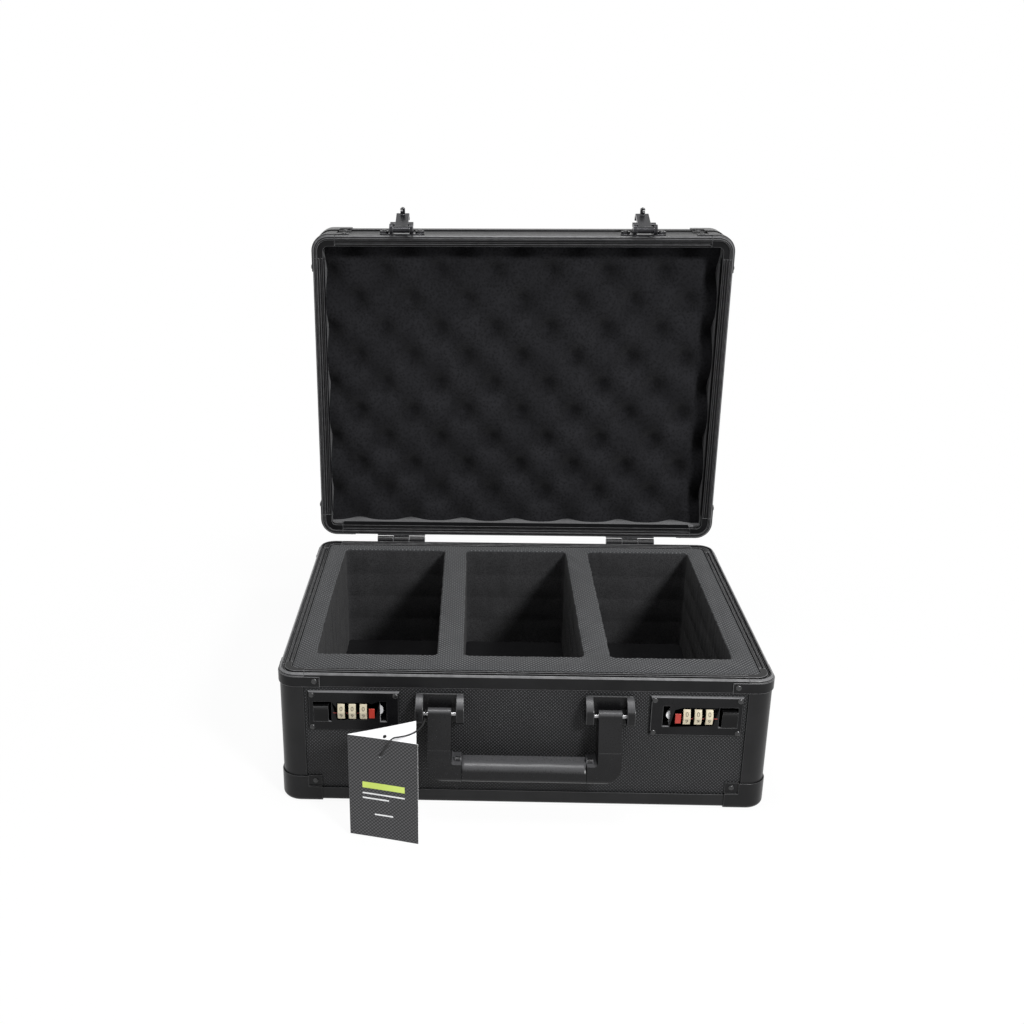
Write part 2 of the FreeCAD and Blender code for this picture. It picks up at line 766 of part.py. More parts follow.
def drive_slot():
    # Slot at 45 degrees: the pin's rise draws the bar outward by as much
    radius = thumb_pin_radius + slide_fit
    x, z = thumb_pin_x, lock_z + thumb_pin_dz
    ends = [rod(Vector(x - s, bar_y, z + s), Y, bar_thickness, radius) for s in (0, thumb_travel)]
    side = radius * math.sqrt(0.5)
    far_x, far_z = x - thumb_travel, z + thumb_travel
    run = along_y([(x - side, z - side), (x + side, z + side), (far_x + side, far_z + side),
                   (far_x - side, far_z - side)], bar_y, bar_y + bar_thickness)
    return fuse(ends + [run])


def latch_bolt():
    # Half-moon bolt in the hook slot, carried by a bar that runs under the dials to a slotted drive plate
    bolt_back = hook_slot_dx + hook_slot_width / 2 + bolt_web
    front = face_y + slide_fit
    y1 = bar_y + bar_thickness
    moon_x = lock_x + hook_slot_dx + hook_slot_width / 2 - bolt_reach + bolt_radius
    disc = rod(Vector(moon_x, front, lock_z), Y, bolt_thickness, bolt_radius)
    keep = lock_box(bolt_back - 2 * bolt_radius, bolt_back, front, bar_y, -bolt_radius, bolt_radius)
    web = lock_box(bolt_back - bolt_web, bolt_back, bar_y, y1, bar_low, bolt_radius)
    edge = thumb_pin_radius + slide_fit + drive_web
    pin_dx = thumb_pin_x - lock_x
    bar = lock_box(bolt_back - bolt_web, pin_dx + edge, bar_y, y1, bar_low, bar_low + bar_height)
    drive = lock_box(pin_dx - thumb_travel - edge, pin_dx + edge, bar_y, y1, bar_low,
                     thumb_pin_dz + thumb_travel + edge)
    lug = lock_box(spring_start_dx - cheek_thickness, spring_start_dx, bar_y, spring_y + spring_radius,
                   bar_low, bar_low + 2 * spring_radius - spring_wire)
    return fuse([disc.common(keep), web, bar, drive, lug]).cut(drive_slot())


def latch_spring():
    # Envelope of the return spring between the bar's lug and the housing stop
    start = Vector(lock_x + spring_start_dx, spring_y, lock_z + bar_low + spring_radius)
    bore = rod(start, X, spring_length, spring_radius - spring_wire)
    return rod(start, X, spring_length, spring_radius).cut(bore)


def front_panel_openings():
    half_w = housing_width / 2 + housing_fit
    half_h = housing_height / 2 + housing_fit
    return both_sides(lock_box(-half_w, half_w, face_y, face_y + panel_thickness, -half_h, half_h))


# Hasps, in closed case coordinates on the right

def hasp_rivet_places():
    reach = hasp_plate_width / 2 - hasp_rivet_inset
    return [hasp_x - reach, hasp_x + reach]


def hasp_base():
    # Plate with a round boss under each rivet and two ears for the pin
    low = lid_seam_z + hasp_plate_lift
    high = low + hasp_plate_height
    front = -half_depth - hasp_plate
    half = hasp_plate_width / 2
    plate = box(hasp_x - half, hasp_x + half, front, -half_depth, low, high)
    ends = [e for e in plate.Edges if e.BoundBox.YLength > hasp_plate - touch]
    plate = plate.makeFillet((hasp_plate_height - hasp_end_flat) / 2, ends)
    y, z, r = hasp_pivot.y, hasp_pivot.z, hasp_ear_radius
    outline = [(front, low), (front, high), (y - r, z), (y + r, z)]
    pieces = [plate]
    for x in hasp_rivet_places():
        pieces.append(rod(Vector(x, -half_depth, (low + high) / 2), -Y, hasp_boss, hasp_boss_radius))
    for x0 in (hasp_x - hasp_ear_span / 2, hasp_x + hasp_ear_span / 2 - hasp_ear):
        pieces.append(along_x(outline, x0, x0 + hasp_ear, [(2, (y, z - r))]))
    return fuse(pieces).cut(hasp_pin())


def hasp_rivets():
    z = lid_seam_z + hasp_plate_lift + hasp_plate_height / 2
    return [rivet(Vector(x, -half_depth - hasp_boss, z), Y) for x in hasp_rivet_places()]


def hasp_pin():
    start = Vector(hasp_x - hasp_ear_span / 2, hasp_pivot.y, hasp_pivot.z)
    return rod(start, X, hasp_ear_span, hasp_pin_radius)


def hasp_arm():
    # Knuckle, strap with a finger pull that curls outward at its lower end, and the hook
    y, z = hasp_pivot.y, hasp_pivot.z
    back = y + hasp_arm_thickness / 2
    front = y - hasp_arm_thickness / 2
    foot = lock_z - hook_thickness / 2
    tip = foot - hasp_pull
    inner = hasp_ear_span / 2 - hasp_ear - slide_fit
    start = Vector(hasp_x - inner, y, z)
    pull = front - hasp_pull
    points = [(front, z), (back, z), (back, foot), (pull, tip), (pull, tip + hasp_pull_lip),
              (front, foot + hasp_pull_root)]
    curls = [(2, bowed(points[2], points[3], -hasp_curl_outer)),
             (4, bowed(points[4], points[5], hasp_curl_inner))]
    strap = along_x(points, hasp_x - hasp_arm_width / 2, hasp_x + hasp_arm_width / 2, curls)
    knuckle = rod(start, X, 2 * inner, hasp_knuckle_radius)
    bore = rod(start, X, 2 * inner, hasp_pin_radius + pin_fit)
    return fuse([knuckle, strap, hasp_hook(back)]).cut(bore)


def hasp_hook(root_y):
    # Arrow-headed tongue in plan, notched on the dial side for the bolt
    neck_start = face_y - slide_fit
    head_back = bar_y + slide_fit
    half = hook_slot_width / 2 - hook_side_fit
    left, right = hasp_x - half, hasp_x + half
    neck = hasp_x + hook_slot_width / 2 - bolt_reach - slide_fit
    barb = head_back + hook_barb
    outline = [(left, root_y), (right, root_y), (right, neck_start), (neck, neck_start), (neck, head_back),
               (right, head_back), (right, barb), (hasp_x, head_back + hook_head), (left, barb)]
    low = lock_z - hook_thickness / 2
    return face_from([(x, y, low) for x, y in outline]).extrude(Vector(0, 0, hook_thickness))


# Handle, right-hand side pieces mirrored to the left

def handle_bracket():
    x0 = handle_x - bracket_width / 2
    x1 = handle_x + bracket_width / 2
    y, z, r = handle_y, handle_z, bracket_ear_radius
    low, high = z - bracket_fall, z + bracket_rise
    plate = box(x0, x1, face_y - bracket_plate, face_y, low, high)
    corners = [e for e in plate.Edges if e.BoundBox.YLength > bracket_plate - touch]
    plate = plate.makeFillet(bracket_corner, corners)
    across = r * math.cos(math.radians(bracket_slope))
    rise = r * math.sin(math.radians(bracket_slope))
    outline = [(face_y, low + bracket_margin), (face_y, high - bracket_margin), (y - across, z + rise),
               (y - across, z - rise)]
    pieces = [plate]
    for start in (x0, x1 - bracket_ear):
        pieces.append(along_x(outline, start, start + bracket_ear, [(2, (y - r, z))]))
    return fuse(pieces).cut(handle_pin())


def handle_pin():
    return rod(Vector(handle_x - bracket_width / 2, handle_y, handle_z), X, bracket_width, handle_pin_radius)


def handle_arm():
    # Front outline crossed with a side outline: barrel, widening strap, rounded elbow
    y, z, r = handle_y, handle_z, arm_barrel_radius
    back, front = grip_back_y, grip_front_y
    x0 = handle_x - arm_width / 2
    x1 = handle_x + arm_width / 2
    end = grip_length / 2 + grip_gap
    elbow = elbow_radius * corner_share
    crotch = arm_crotch * corner_share
    face = along_y([(end, grip_low), (x1 - elbow_radius, grip_low), (x1, grip_low + elbow_radius),
                    (x1, z + r), (x0, z + r), (x0, grip_high + arm_crotch), (x0 - arm_crotch, grip_high),
                    (end, grip_high)], front, y + r,
                   [(1, (x1 - elbow, grip_low + elbow)), (5, (x0 - crotch, grip_high + crotch))])
    foot = grip_round * corner_share
    side = along_x([(y - r, z), (y + r, z), (y + r, grip_high + arm_taper), (back, grip_high),
                    (back, grip_low + grip_round), (back - grip_round, grip_low),
                    (front + grip_round, grip_low), (front, grip_low + grip_round),
                    (front, grip_high - arm_chin)], end, x1,
                   [(0, (y, z + r)), (4, (back - foot, grip_low + foot)),
                    (6, (front + foot, grip_low + foot))])
    bore = rod(Vector(x0, y, z), X, arm_width, handle_pin_radius + pin_fit)
    return face.common(side).cut(bore).cut(grip_pin())


def grip_pin():
    start = Vector(grip_length / 2 + grip_gap, grip_back_y - grip_pin_back, grip_high)
    return rod(start, X, grip_pin_length, grip_pin_radius)


def handle_grip():
    # Palm bar with rounded edges and a broad crown that falls to a flatter front
    back, front, r = grip_back_y, grip_front_y, grip_round
    k = r * corner_share
    low, high = grip_low, grip_high
    points = [(back, low + r), (back, high - r), (back - r, high), (front + grip_crown_depth, high),
              (front, high - grip_crown_drop), (front, low + r), (front + r, low), (back - r, low)]
    crown = bowed(points[3], points[4], grip_crown_bulge)
    arcs = [(1, (back - k, high - k)), (3, crown), (5, (front + k, low + k)), (7, (back - k, low + k))]
    return along_x(points, -grip_length / 2, grip_length / 2, arcs)


# Hang tag and cord

def tag_point(turn, along, out):
    # Along a cover from the fold, and out from its inner face to the left of that way
    way = Rotation(Z, turn)
    return Vector(tag_spine_x, face_y - tag_spine_out, tag_foot) + way.multVec(Vector(along, out, 0))


def hang_tag():
    front, back = tag_front_turn, tag_back_turn
    front_cover = [tag_point(front, 0, 0), tag_point(front, tag_width, 0),
                   tag_point(front, tag_width, -tag_card), tag_point(front, 0, -tag_card)]
    outline = front_cover + [tag_point(back, 0, tag_card), tag_point(back, tag_width, tag_card),
                             tag_point(back, tag_width, 0)]
    fold = tag_point((front + back) / 2, -tag_card, 0)
    folded = face_from([tuple(p) for p in outline], [(3, tuple(fold))]).extrude(Vector(0, 0, tag_height))
    for turn in (front, back):
        start = tag_point(turn, tag_hole_along, -2 * tag_card) + Z * (tag_hole_height - tag_foot)
        folded = folded.cut(rod(start, Rotation(Z, turn).multVec(Y), 4 * tag_card, tag_hole_radius))
    return folded


def cord_path(route):
    # Straight runs joined by arcs as large as the runs allow
    edges = []
    radii = []
    last = route[0]
    for before, point, after in zip(route, route[1:], route[2:]):
        u = (before - point).normalize()
        v = (after - point).normalize()
        turn = math.pi - u.getAngle(v)
        reach = cord_bend * min((before - point).Length, (after - point).Length)
        radius = reach / math.tan(turn / 2)
        middle = point + (u + v).normalize() * (math.hypot(radius, reach) - radius)
        edges.append(Part.LineSegment(last, point + u * reach).toShape())
        edges.append(Part.Arc(point + u * reach, middle, point + v * reach).toShape())
        last = point + v * reach
        radii.append(round(radius, 1))
    edges.append(Part.LineSegment(last, route[-1]).toShape())
    print("cord bend radii", radii)
    return Part.Wire(edges)


def tag_cord():
    # Many-sided tube, which lies close to the round cord
    route = [Vector(*point) for point in cord_points]
    path = cord_path(route)
    section = flat_face(ring_of(route[0], route[1] - route[0], cord_radius, cord_sides))
    tube = path.makePipeShell([section.OuterWire], True, False)
    share = tube.Volume / (section.Area * path.Length)
    print("cord length", round(path.Length, 1), "volume over section times length", round(share, 3))
    return tube


nodes = {}


def put(name, shapes):
    items = shapes if isinstance(shapes, list) else [shapes]
    nodes[name] = items[0] if len(items) == 1 else Part.makeCompound(items)


def to_lid(shape):
    turned = shape.mirror(Vector(), Z)
    turned.translate(Vector(0, 0, lid_top_z))
    return turned


def opened(shape):
    turned = shape.copy()
    turned.rotate(Vector(0, pin_y, base_height), X, -open_angle)
    return turned


def same_place(shape):
    return shape


def shell_nodes(prefix, height, tongue, place):
    # The walls and the metal edges of one half
    front, back, sides = wall_panels(height)
    groups = {"front_panel": [front], "back_panel": [back], "side_panels": sides,
              "corner_posts": corner_posts(height), "edge_trims": edge_trims(), "corner_caps": corner_caps(),
              "rim_rails": rim_rails(height, tongue), "rim_corners": rim_corners(height, tongue)}
    return {prefix + name: [place(item) for item in items] for name, items in groups.items()}


def add_base():
    plate_rivets = [copy for item in lock_rivets() for copy in both_sides(item)]
    rivets = shell_rivets(base_height) + hinge_rivets(False) + plate_rivets
    for name, items in shell_nodes("base_", base_height, False, same_place).items():
        put(name, items)
    nodes["base_front_panel"] = nodes["base_front_panel"].cut(Part.makeCompound(front_panel_openings()))
    put("base_floor_panel", flat_panel())
    put("base_rivets", rivets)
    put("foam_base_pad", foam_pad())
    put("foam_insert", foam_insert())
    leaf = hinge_leaf_piece(range(0, knuckle_count, 2), False)
    put("hinge_base_leaves", both_sides(leaf))
    put("hinge_pins", both_sides(hinge_pin()))
    put("handle_brackets", both_sides(handle_bracket()))
    put("handle_pivot_pins", both_sides(handle_pin()))
    put("hang_tag", hang_tag())
    put("tag_cord", tag_cord())


def add_locks():
    right = {"lock_plate": lock_plate(), "lock_housing": lock_housing(), "dial_axle": dial_axle(),
             "reset_tab": reset_tab(), "thumb_slide": thumb_slide(), "latch_bolt": latch_bolt(),
             "latch_spring": latch_spring()}
    for index, dx in enumerate(dial_offsets()):
        right["lock_dial_%d" % (index + 1)] = lock_dial(dx)
    for name, shape in right.items():
        put(name + "_right", shape)
        put(name + "_left", flip_x(shape))


def add_handle():
    arm = handle_arm()
    put("handle_arm_right", arm)
    put("handle_arm_left", flip_x(arm))
    put("handle_grip", handle_grip())
    put("handle_grip_pins", both_sides(grip_pin()))


def add_lid():
    hasp_pair = [copy for item in hasp_rivets() for copy in both_sides(item)]
    rivets = [to_lid(item) for item in shell_rivets(lid_height)] + hinge_rivets(True) + hasp_pair
    pieces = shell_nodes("lid_", lid_height, True, to_lid)
    pieces["lid_top_panel"] = [to_lid(flat_panel())]
    pieces["lid_rivets"] = rivets
    pieces["lid_foam"] = [to_lid(lid_foam())]
    pieces["lid_liner"] = [to_lid(lid_liner())]
    leaf = hinge_leaf_piece(range(1, knuckle_count, 2), True)
    pieces["hinge_lid_leaves"] = both_sides(leaf)
    pieces["hasp_bases"] = both_sides(hasp_base())
    pieces["hasp_pins"] = both_sides(hasp_pin())
    arm = hasp_arm()
    arm.rotate(hasp_pivot, X, -hasp_open_angle)
    pieces["hasp_arm_right"] = [arm]
    pieces["hasp_arm_left"] = [flip_x(arm)]
    for name, items in pieces.items():
        put(name, [opened(item) for item in items])


def centre_on_origin():
    # The tag and its cord stand apart, so the case alone sets the middle of the footprint
    reach = FreeCAD.BoundBox()
    for name, shape in nodes.items():
        if name not in ("hang_tag", "tag_cord"):
            reach.add(shape.BoundBox)
    return Vector(0, -reach.Center.y, 0)


add_base()
add_locks()
add_handle()
add_lid()
shift = centre_on_origin()
print("shift to the middle of the footprint", round(shift.y, 3))
os.makedirs("parts", exist_ok=True)
for name, shape in nodes.items():
    shape.translate(shift)
    shape.exportStep("parts/%s.step" % name)
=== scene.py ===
import json
import math
import bmesh
import bpy
from mathutils import Matrix, Vector, noise


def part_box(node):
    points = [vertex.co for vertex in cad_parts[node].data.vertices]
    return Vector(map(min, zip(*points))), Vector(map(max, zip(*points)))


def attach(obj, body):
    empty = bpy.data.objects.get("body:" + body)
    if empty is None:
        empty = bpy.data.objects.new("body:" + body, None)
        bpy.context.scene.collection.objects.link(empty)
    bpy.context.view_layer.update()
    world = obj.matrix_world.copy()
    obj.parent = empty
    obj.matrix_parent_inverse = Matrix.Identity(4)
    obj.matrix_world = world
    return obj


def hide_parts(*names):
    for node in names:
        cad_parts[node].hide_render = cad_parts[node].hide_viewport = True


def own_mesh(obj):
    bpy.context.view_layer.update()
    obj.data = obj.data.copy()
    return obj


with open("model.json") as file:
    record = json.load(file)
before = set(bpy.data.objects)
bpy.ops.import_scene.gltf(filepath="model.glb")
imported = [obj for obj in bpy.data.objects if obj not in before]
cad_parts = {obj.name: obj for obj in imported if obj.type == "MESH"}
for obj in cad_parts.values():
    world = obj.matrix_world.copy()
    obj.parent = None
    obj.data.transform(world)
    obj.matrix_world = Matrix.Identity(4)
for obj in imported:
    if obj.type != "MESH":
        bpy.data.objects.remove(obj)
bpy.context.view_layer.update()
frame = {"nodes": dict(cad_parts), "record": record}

mm = 0.001
scene = bpy.context.scene
scene.view_settings.view_transform = "Standard"
record = frame["record"]
bodyOf = {node: body for body, nodes in record["behaviour"]["bodies"].items() for node in nodes}
slotOf = {part["node"]: part["material_slot"] for part in record["subparts"]}
floorLow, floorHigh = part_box("base_floor_panel")
caseY = (floorLow[1] + floorHigh[1]) / 2  # middle of the base from front to back


def casePoint(x, y, z):  # millimetres from the middle of the base to the shared frame
    return Vector((x * mm, y * mm + caseY, z * mm))


# camera, set from lines of the photograph
view = {"place": (-38.2, -953.5, 525.4), "turn": -2.168, "down": 21.035, "roll": -0.117,
        "lens": 43.07, "sensor": 36.0, "shiftX": 0.0783, "shiftY": 0.0341}


def makeCamera():
    data = bpy.data.cameras.new("photoCamera")
    data.lens = view["lens"]
    data.sensor_width = view["sensor"]
    data.shift_x = view["shiftX"]
    data.shift_y = view["shiftY"]
    camera = bpy.data.objects.new("photoCamera", data)
    scene.collection.objects.link(camera)
    turn, down, roll = (math.radians(view[k]) for k in ("turn", "down", "roll"))
    ahead = Vector((math.sin(turn) * math.cos(down), math.cos(turn) * math.cos(down), -math.sin(down)))
    right = Vector((math.cos(turn), -math.sin(turn), 0.0))
    up = right.cross(ahead)
    right, up = right * math.cos(roll) + up * math.sin(roll), up * math.cos(roll) - right * math.sin(roll)
    axes = Matrix((right, up, -ahead)).transposed()
    camera.matrix_world = Matrix.Translation(casePoint(*view["place"])) @ axes.to_4x4()
    scene.camera = camera


makeCamera()
print("camera placed")


# small helpers for node trees

def wire(tree, source, target):
    tree.links.new(source, target)


def setOrWire(tree, socket, value):
    if isinstance(value, bpy.types.NodeSocket):
        tree.links.new(value, socket)
    else:
        socket.default_value = value


def calc(tree, operation, first, second=0.0, third=0.0):
    node = tree.nodes.new("ShaderNodeMath")
    node.operation = operation
    for socket, value in zip(node.inputs, (first, second, third)):
        setOrWire(tree, socket, value)
    return node.outputs[0]


def ramp(tree, value, low, high, start=0.0, end=1.0):  # smooth step from start to end
    node = tree.nodes.new("ShaderNodeMapRange")
    node.interpolation_type = "SMOOTHSTEP"
    setOrWire(tree, node.inputs["Value"], value)
    for label, number in (("From Min", low), ("From Max", high), ("To Min", start), ("To Max", end)):
        setOrWire(tree, node.inputs[label], number)
    return node.outputs["Result"]


def blendColour(tree, share, first, second):
    node = tree.nodes.new("ShaderNodeMix")
    node.data_type = "RGBA"
    setOrWire(tree, node.inputs[0], share)
    for socket, value in zip(node.inputs[6:8], (first, second)):
        setOrWire(tree, socket, value if isinstance(value, bpy.types.NodeSocket) else (*value, 1.0))
    return node.outputs[2]


def splitVector(tree, vector):
    node = tree.nodes.new("ShaderNodeSeparateXYZ")
    wire(tree, vector, node.inputs[0])
    return node.outputs


def choose(tree, share, first, second):  # second where share is 1, and first where it is 0
    kept = calc(tree, "MULTIPLY", first, calc(tree, "SUBTRACT", 1.0, share))
    return calc(tree, "ADD", kept, calc(tree, "MULTIPLY", second, share))


def newGroup(name, inputs, outputs):
    group = bpy.data.node_groups.new(name, "ShaderNodeTree")
    for label in inputs:
        kind = "NodeSocketVector" if label in ("Vector", "Normal") else "NodeSocketFloat"
        group.interface.new_socket(label, in_out="INPUT", socket_type=kind)
    for label in outputs:
        group.interface.new_socket(label, in_out="OUTPUT", socket_type="NodeSocketFloat")
    return group, group.nodes.new("NodeGroupInput").outputs, group.nodes.new("NodeGroupOutput").inputs


def noiseOf(tree, vector, scale, detail=3.0, roughness=0.55):
    node = tree.nodes.new("ShaderNodeTexNoise")
    wire(tree, vector, node.inputs["Vector"])
    setOrWire(tree, node.inputs["Scale"], scale)
    node.inputs["Detail"].default_value = detail
    node.inputs["Roughness"].default_value = roughness
    return node.outputs["Fac"]


# effects that several finishes share
effect = {"facing": 0.5, "diamondMask": (0.18, 0.62), "cloudSize": 0.03, "cloudRange": (0.3, 0.7),
          "patchRange": (0.3, 0.7, 0.6, 1.0), "fuzzSize": 1.7, "fuzzShare": 0.8, "poreTint": (0.35, 1.1),
          "weaveMask": (-0.25, 0.55)}


def makeDiamondGroup():  # raised diamonds in rows, on whichever way a face looks
    group, given, out = newGroup("diamondEmboss", ["Vector", "Normal", "Pitch"], ["Height", "Mask"])
    spot = splitVector(group, given["Vector"])
    facing = splitVector(group, given["Normal"])
    sideways, level = (calc(group, "GREATER_THAN", calc(group, "ABSOLUTE", facing[k]), effect["facing"])
                       for k in (0, 2))
    across = choose(group, sideways, spot[0], spot[1])
    along = choose(group, level, spot[2], spot[1])
    turns = calc(group, "DIVIDE", math.pi, given["Pitch"])
    waves = []
    for operation in ("ADD", "SUBTRACT"):
        wave = calc(group, "COSINE", calc(group, "MULTIPLY", calc(group, operation, across, along), turns))
        waves.append(calc(group, "MULTIPLY", wave, wave))
    height = calc(group, "MULTIPLY", waves[0], waves[1])
    wire(group, height, out["Height"])
    wire(group, ramp(group, height, *effect["diamondMask"]), out["Mask"])
    return group


def makeGrainGroup():  # fine mottling with a slower cloud under it
    group, given, out = newGroup("fineGrain", ["Vector", "Scale"], ["Grain", "Cloud"])
    wire(group, noiseOf(group, given["Vector"], given["Scale"], detail=2.0), out["Grain"])
    slow = calc(group, "MULTIPLY", given["Scale"], effect["cloudSize"])
    cloud = noiseOf(group, given["Vector"], slow, detail=4.0)
    wire(group, ramp(group, cloud, *effect["cloudRange"]), out["Cloud"])
    return group


def makePatchGroup():  # uneven patches on rounded edges, of rubbing where hands and tables touch and of painted highlight
    group, given, out = newGroup("rubbedPatches", ["Vector", "Scale"], ["Mask"])
    patches = noiseOf(group, given["Vector"], given["Scale"])
    wire(group, ramp(group, patches, *effect["patchRange"]), out["Mask"])
    return group


def makePoreGroup():  # open cells of cut foam
    group, given, out = newGroup("foamPores", ["Vector", "Scale"], ["Height", "Tint"])
    cells = group.nodes.new("ShaderNodeTexVoronoi")
    wire(group, given["Vector"], cells.inputs["Vector"])
    wire(group, given["Scale"], cells.inputs["Scale"])
    fuzz = noiseOf(group, given["Vector"], calc(group, "MULTIPLY", given["Scale"], effect["fuzzSize"]))
    height = calc(group, "ADD", cells.outputs["Distance"], calc(group, "MULTIPLY", fuzz, effect["fuzzShare"]))
    wire(group, height, out["Height"])
    wire(group, ramp(group, height, *effect["poreTint"]), out["Tint"])
    return group


def makeWeaveGroup():  # crossed ribbons as on a carbon-look print
    group, given, out = newGroup("crossWeave", ["Vector", "Pitch"], ["Height", "Mask"])
    spot = splitVector(group, given["Vector"])
    turns = calc(group, "DIVIDE", math.pi, given["Pitch"])
    across = calc(group, "SINE", calc(group, "MULTIPLY", spot[0], turns))
    along = calc(group, "SINE", calc(group, "MULTIPLY", spot[2], turns))
    height = calc(group, "MULTIPLY", across, along)
    wire(group, height, out["Height"])
    wire(group, ramp(group, height, *effect["weaveMask"]), out["Mask"])
    return group


diamondEmboss = makeDiamondGroup()
fineGrain = makeGrainGroup()
rubbedPatches = makePatchGroup()
foamPores = makePoreGroup()
crossWeave = makeWeaveGroup()


def placeGroup(tree, group, vector, **values):
    node = tree.nodes.new("ShaderNodeGroup")
    node.node_tree = group
    wire(tree, vector, node.inputs["Vector"])
    for label, value in values.items():
        setOrWire(tree, node.inputs[label], value)
    return node.outputs


# what a finish has where its own values say nothing else
plainLook = {"metallic": 0.0, "specular": 0.4, "sheen": 0.0}
satinLook = {**plainLook, "grainScale": 900.0, "grainRange": (0.3, 0.7), "bump": 0.12, "bumpDepth": 0.0004,
             "upward": (0.45, 0.85), "patchScale": 160.0, "edgeSpecular": 0.45}
embossedLook = {**plainLook, "grainScale": 700.0, "grainShare": 0.15, "cloudLow": 0.7, "bumpDepth": 0.0004}
foamLook = {**plainLook, "poreScale": 900.0, "cloudScale": 1300.0, "cloudShare": 0.35, "roughness": (0.85, 1.0),
            "bump": 0.5, "bumpDepth": 0.0006}
weaveLook = {**plainLook, "bump": 0.15, "bumpDepth": 0.0002}


def newMaterial(name, look):
    material = bpy.data.materials.new(name)
    material.use_nodes = True
    tree = material.node_tree
    shader = tree.nodes["Principled BSDF"]
    for label, key in (("Metallic", "metallic"), ("Specular IOR Level", "specular"), ("Sheen Weight", "sheen")):
        shader.inputs[label].default_value = look[key]
    return material, tree, shader, tree.nodes.new("ShaderNodeTexCoord").outputs


def raiseSurface(tree, shader, height, look):
    bump = tree.nodes.new("ShaderNodeBump")
    bump.inputs["Strength"].default_value = look["bump"]
    bump.inputs["Distance"].default_value = look["bumpDepth"]
    wire(tree, height, bump.inputs["Height"])
    wire(tree, bump.outputs["Normal"], shader.inputs["Normal"])


def satinFinish(name, finish, wornAndHighlit=False):  # painted, plated and moulded surfaces, or their rounded edges, lighter with rubbing and with a painted highlight
    look = {**satinLook, **finish}
    material, tree, shader, coords = newMaterial(name, look)
    grain = placeGroup(tree, fineGrain, coords["Object"], Scale=look["grainScale"])
    colour = blendColour(tree, grain["Cloud"], look["dark"], look["light"])
    if "upper" in look:  # faces that look up get a lighter colour, a painted top light
        facing = splitVector(tree, coords["Normal"])
        colour = blendColour(tree, ramp(tree, facing["Z"], *look["upward"]), colour, look["upper"])
    # rounded edges get a lighter colour in patches, partly rubbing and partly a painted highlight
    if wornAndHighlit:
        patches = placeGroup(tree, rubbedPatches, coords["Object"], Scale=look["patchScale"])
        colour = blendColour(tree, patches["Mask"], colour, look["edge"])
        shader.inputs["Specular IOR Level"].default_value = look["edgeSpecular"]
    wire(tree, colour, shader.inputs["Base Color"])
    wire(tree, ramp(tree, grain["Grain"], *look["grainRange"], *look["roughness"]), shader.inputs["Roughness"])
    raiseSurface(tree, shader, grain["Grain"], look)
    return material


def showPattern(tree, shader, mask, tone, height, look):  # its raised parts are lighter and smoother; on embossed diamonds the lighter colour is a painted highlight, on the weave it is print
    wire(tree, blendColour(tree, tone, look["dark"], look["light"]), shader.inputs["Base Color"])
    low, high = look["roughness"]
    wire(tree, ramp(tree, mask, 0.0, 1.0, high, low), shader.inputs["Roughness"])
    raiseSurface(tree, shader, height, look)


def embossedFinish(name, finish):  # sheet with raised diamonds
    look = {**embossedLook, **finish}
    material, tree, shader, coords = newMaterial(name, look)
    dots = placeGroup(tree, diamondEmboss, coords["Object"], Normal=coords["Normal"], Pitch=look["pitch"])
    grain = placeGroup(tree, fineGrain, coords["Object"], Scale=look["grainScale"])
    # raised diamonds are painted lighter, a painted highlight on their crests
    tone = calc(tree, "MULTIPLY", dots["Mask"], ramp(tree, grain["Cloud"], 0.0, 1.0, look["cloudLow"], 1.0))
    height = calc(tree, "ADD", dots["Height"], calc(tree, "MULTIPLY", grain["Grain"], look["grainShare"]))
    showPattern(tree, shader, dots["Mask"], tone, height, look)
    return material


def foamFinish(name, finish):  # cut open-cell foam
    look = {**foamLook, **finish}
    material, tree, shader, coords = newMaterial(name, look)
    pores = placeGroup(tree, foamPores, coords["Object"], Scale=look["poreScale"])
    cloud = placeGroup(tree, fineGrain, coords["Object"], Scale=look["cloudScale"])["Cloud"]
    shade = calc(tree, "MULTIPLY", cloud, look["cloudShare"])
    colour = blendColour(tree, pores["Tint"], look["dark"], look["light"])
    wire(tree, blendColour(tree, shade, colour, look["dark"]), shader.inputs["Base Color"])
    wire(tree, ramp(tree, pores["Tint"], 0.0, 1.0, *look["roughness"]), shader.inputs["Roughness"])
    raiseSurface(tree, shader, pores["Height"], look)
    return material


def weaveFinish(name, finish):  # printed cover with a carbon-look weave
    look = {**weaveLook, **finish}
    material, tree, shader, coords = newMaterial(name, look)
    weave = placeGroup(tree, crossWeave, coords["Object"], Pitch=look["pitch"])
    showPattern(tree, shader, weave["Mask"], weave["Mask"], weave["Height"], look)
    return material


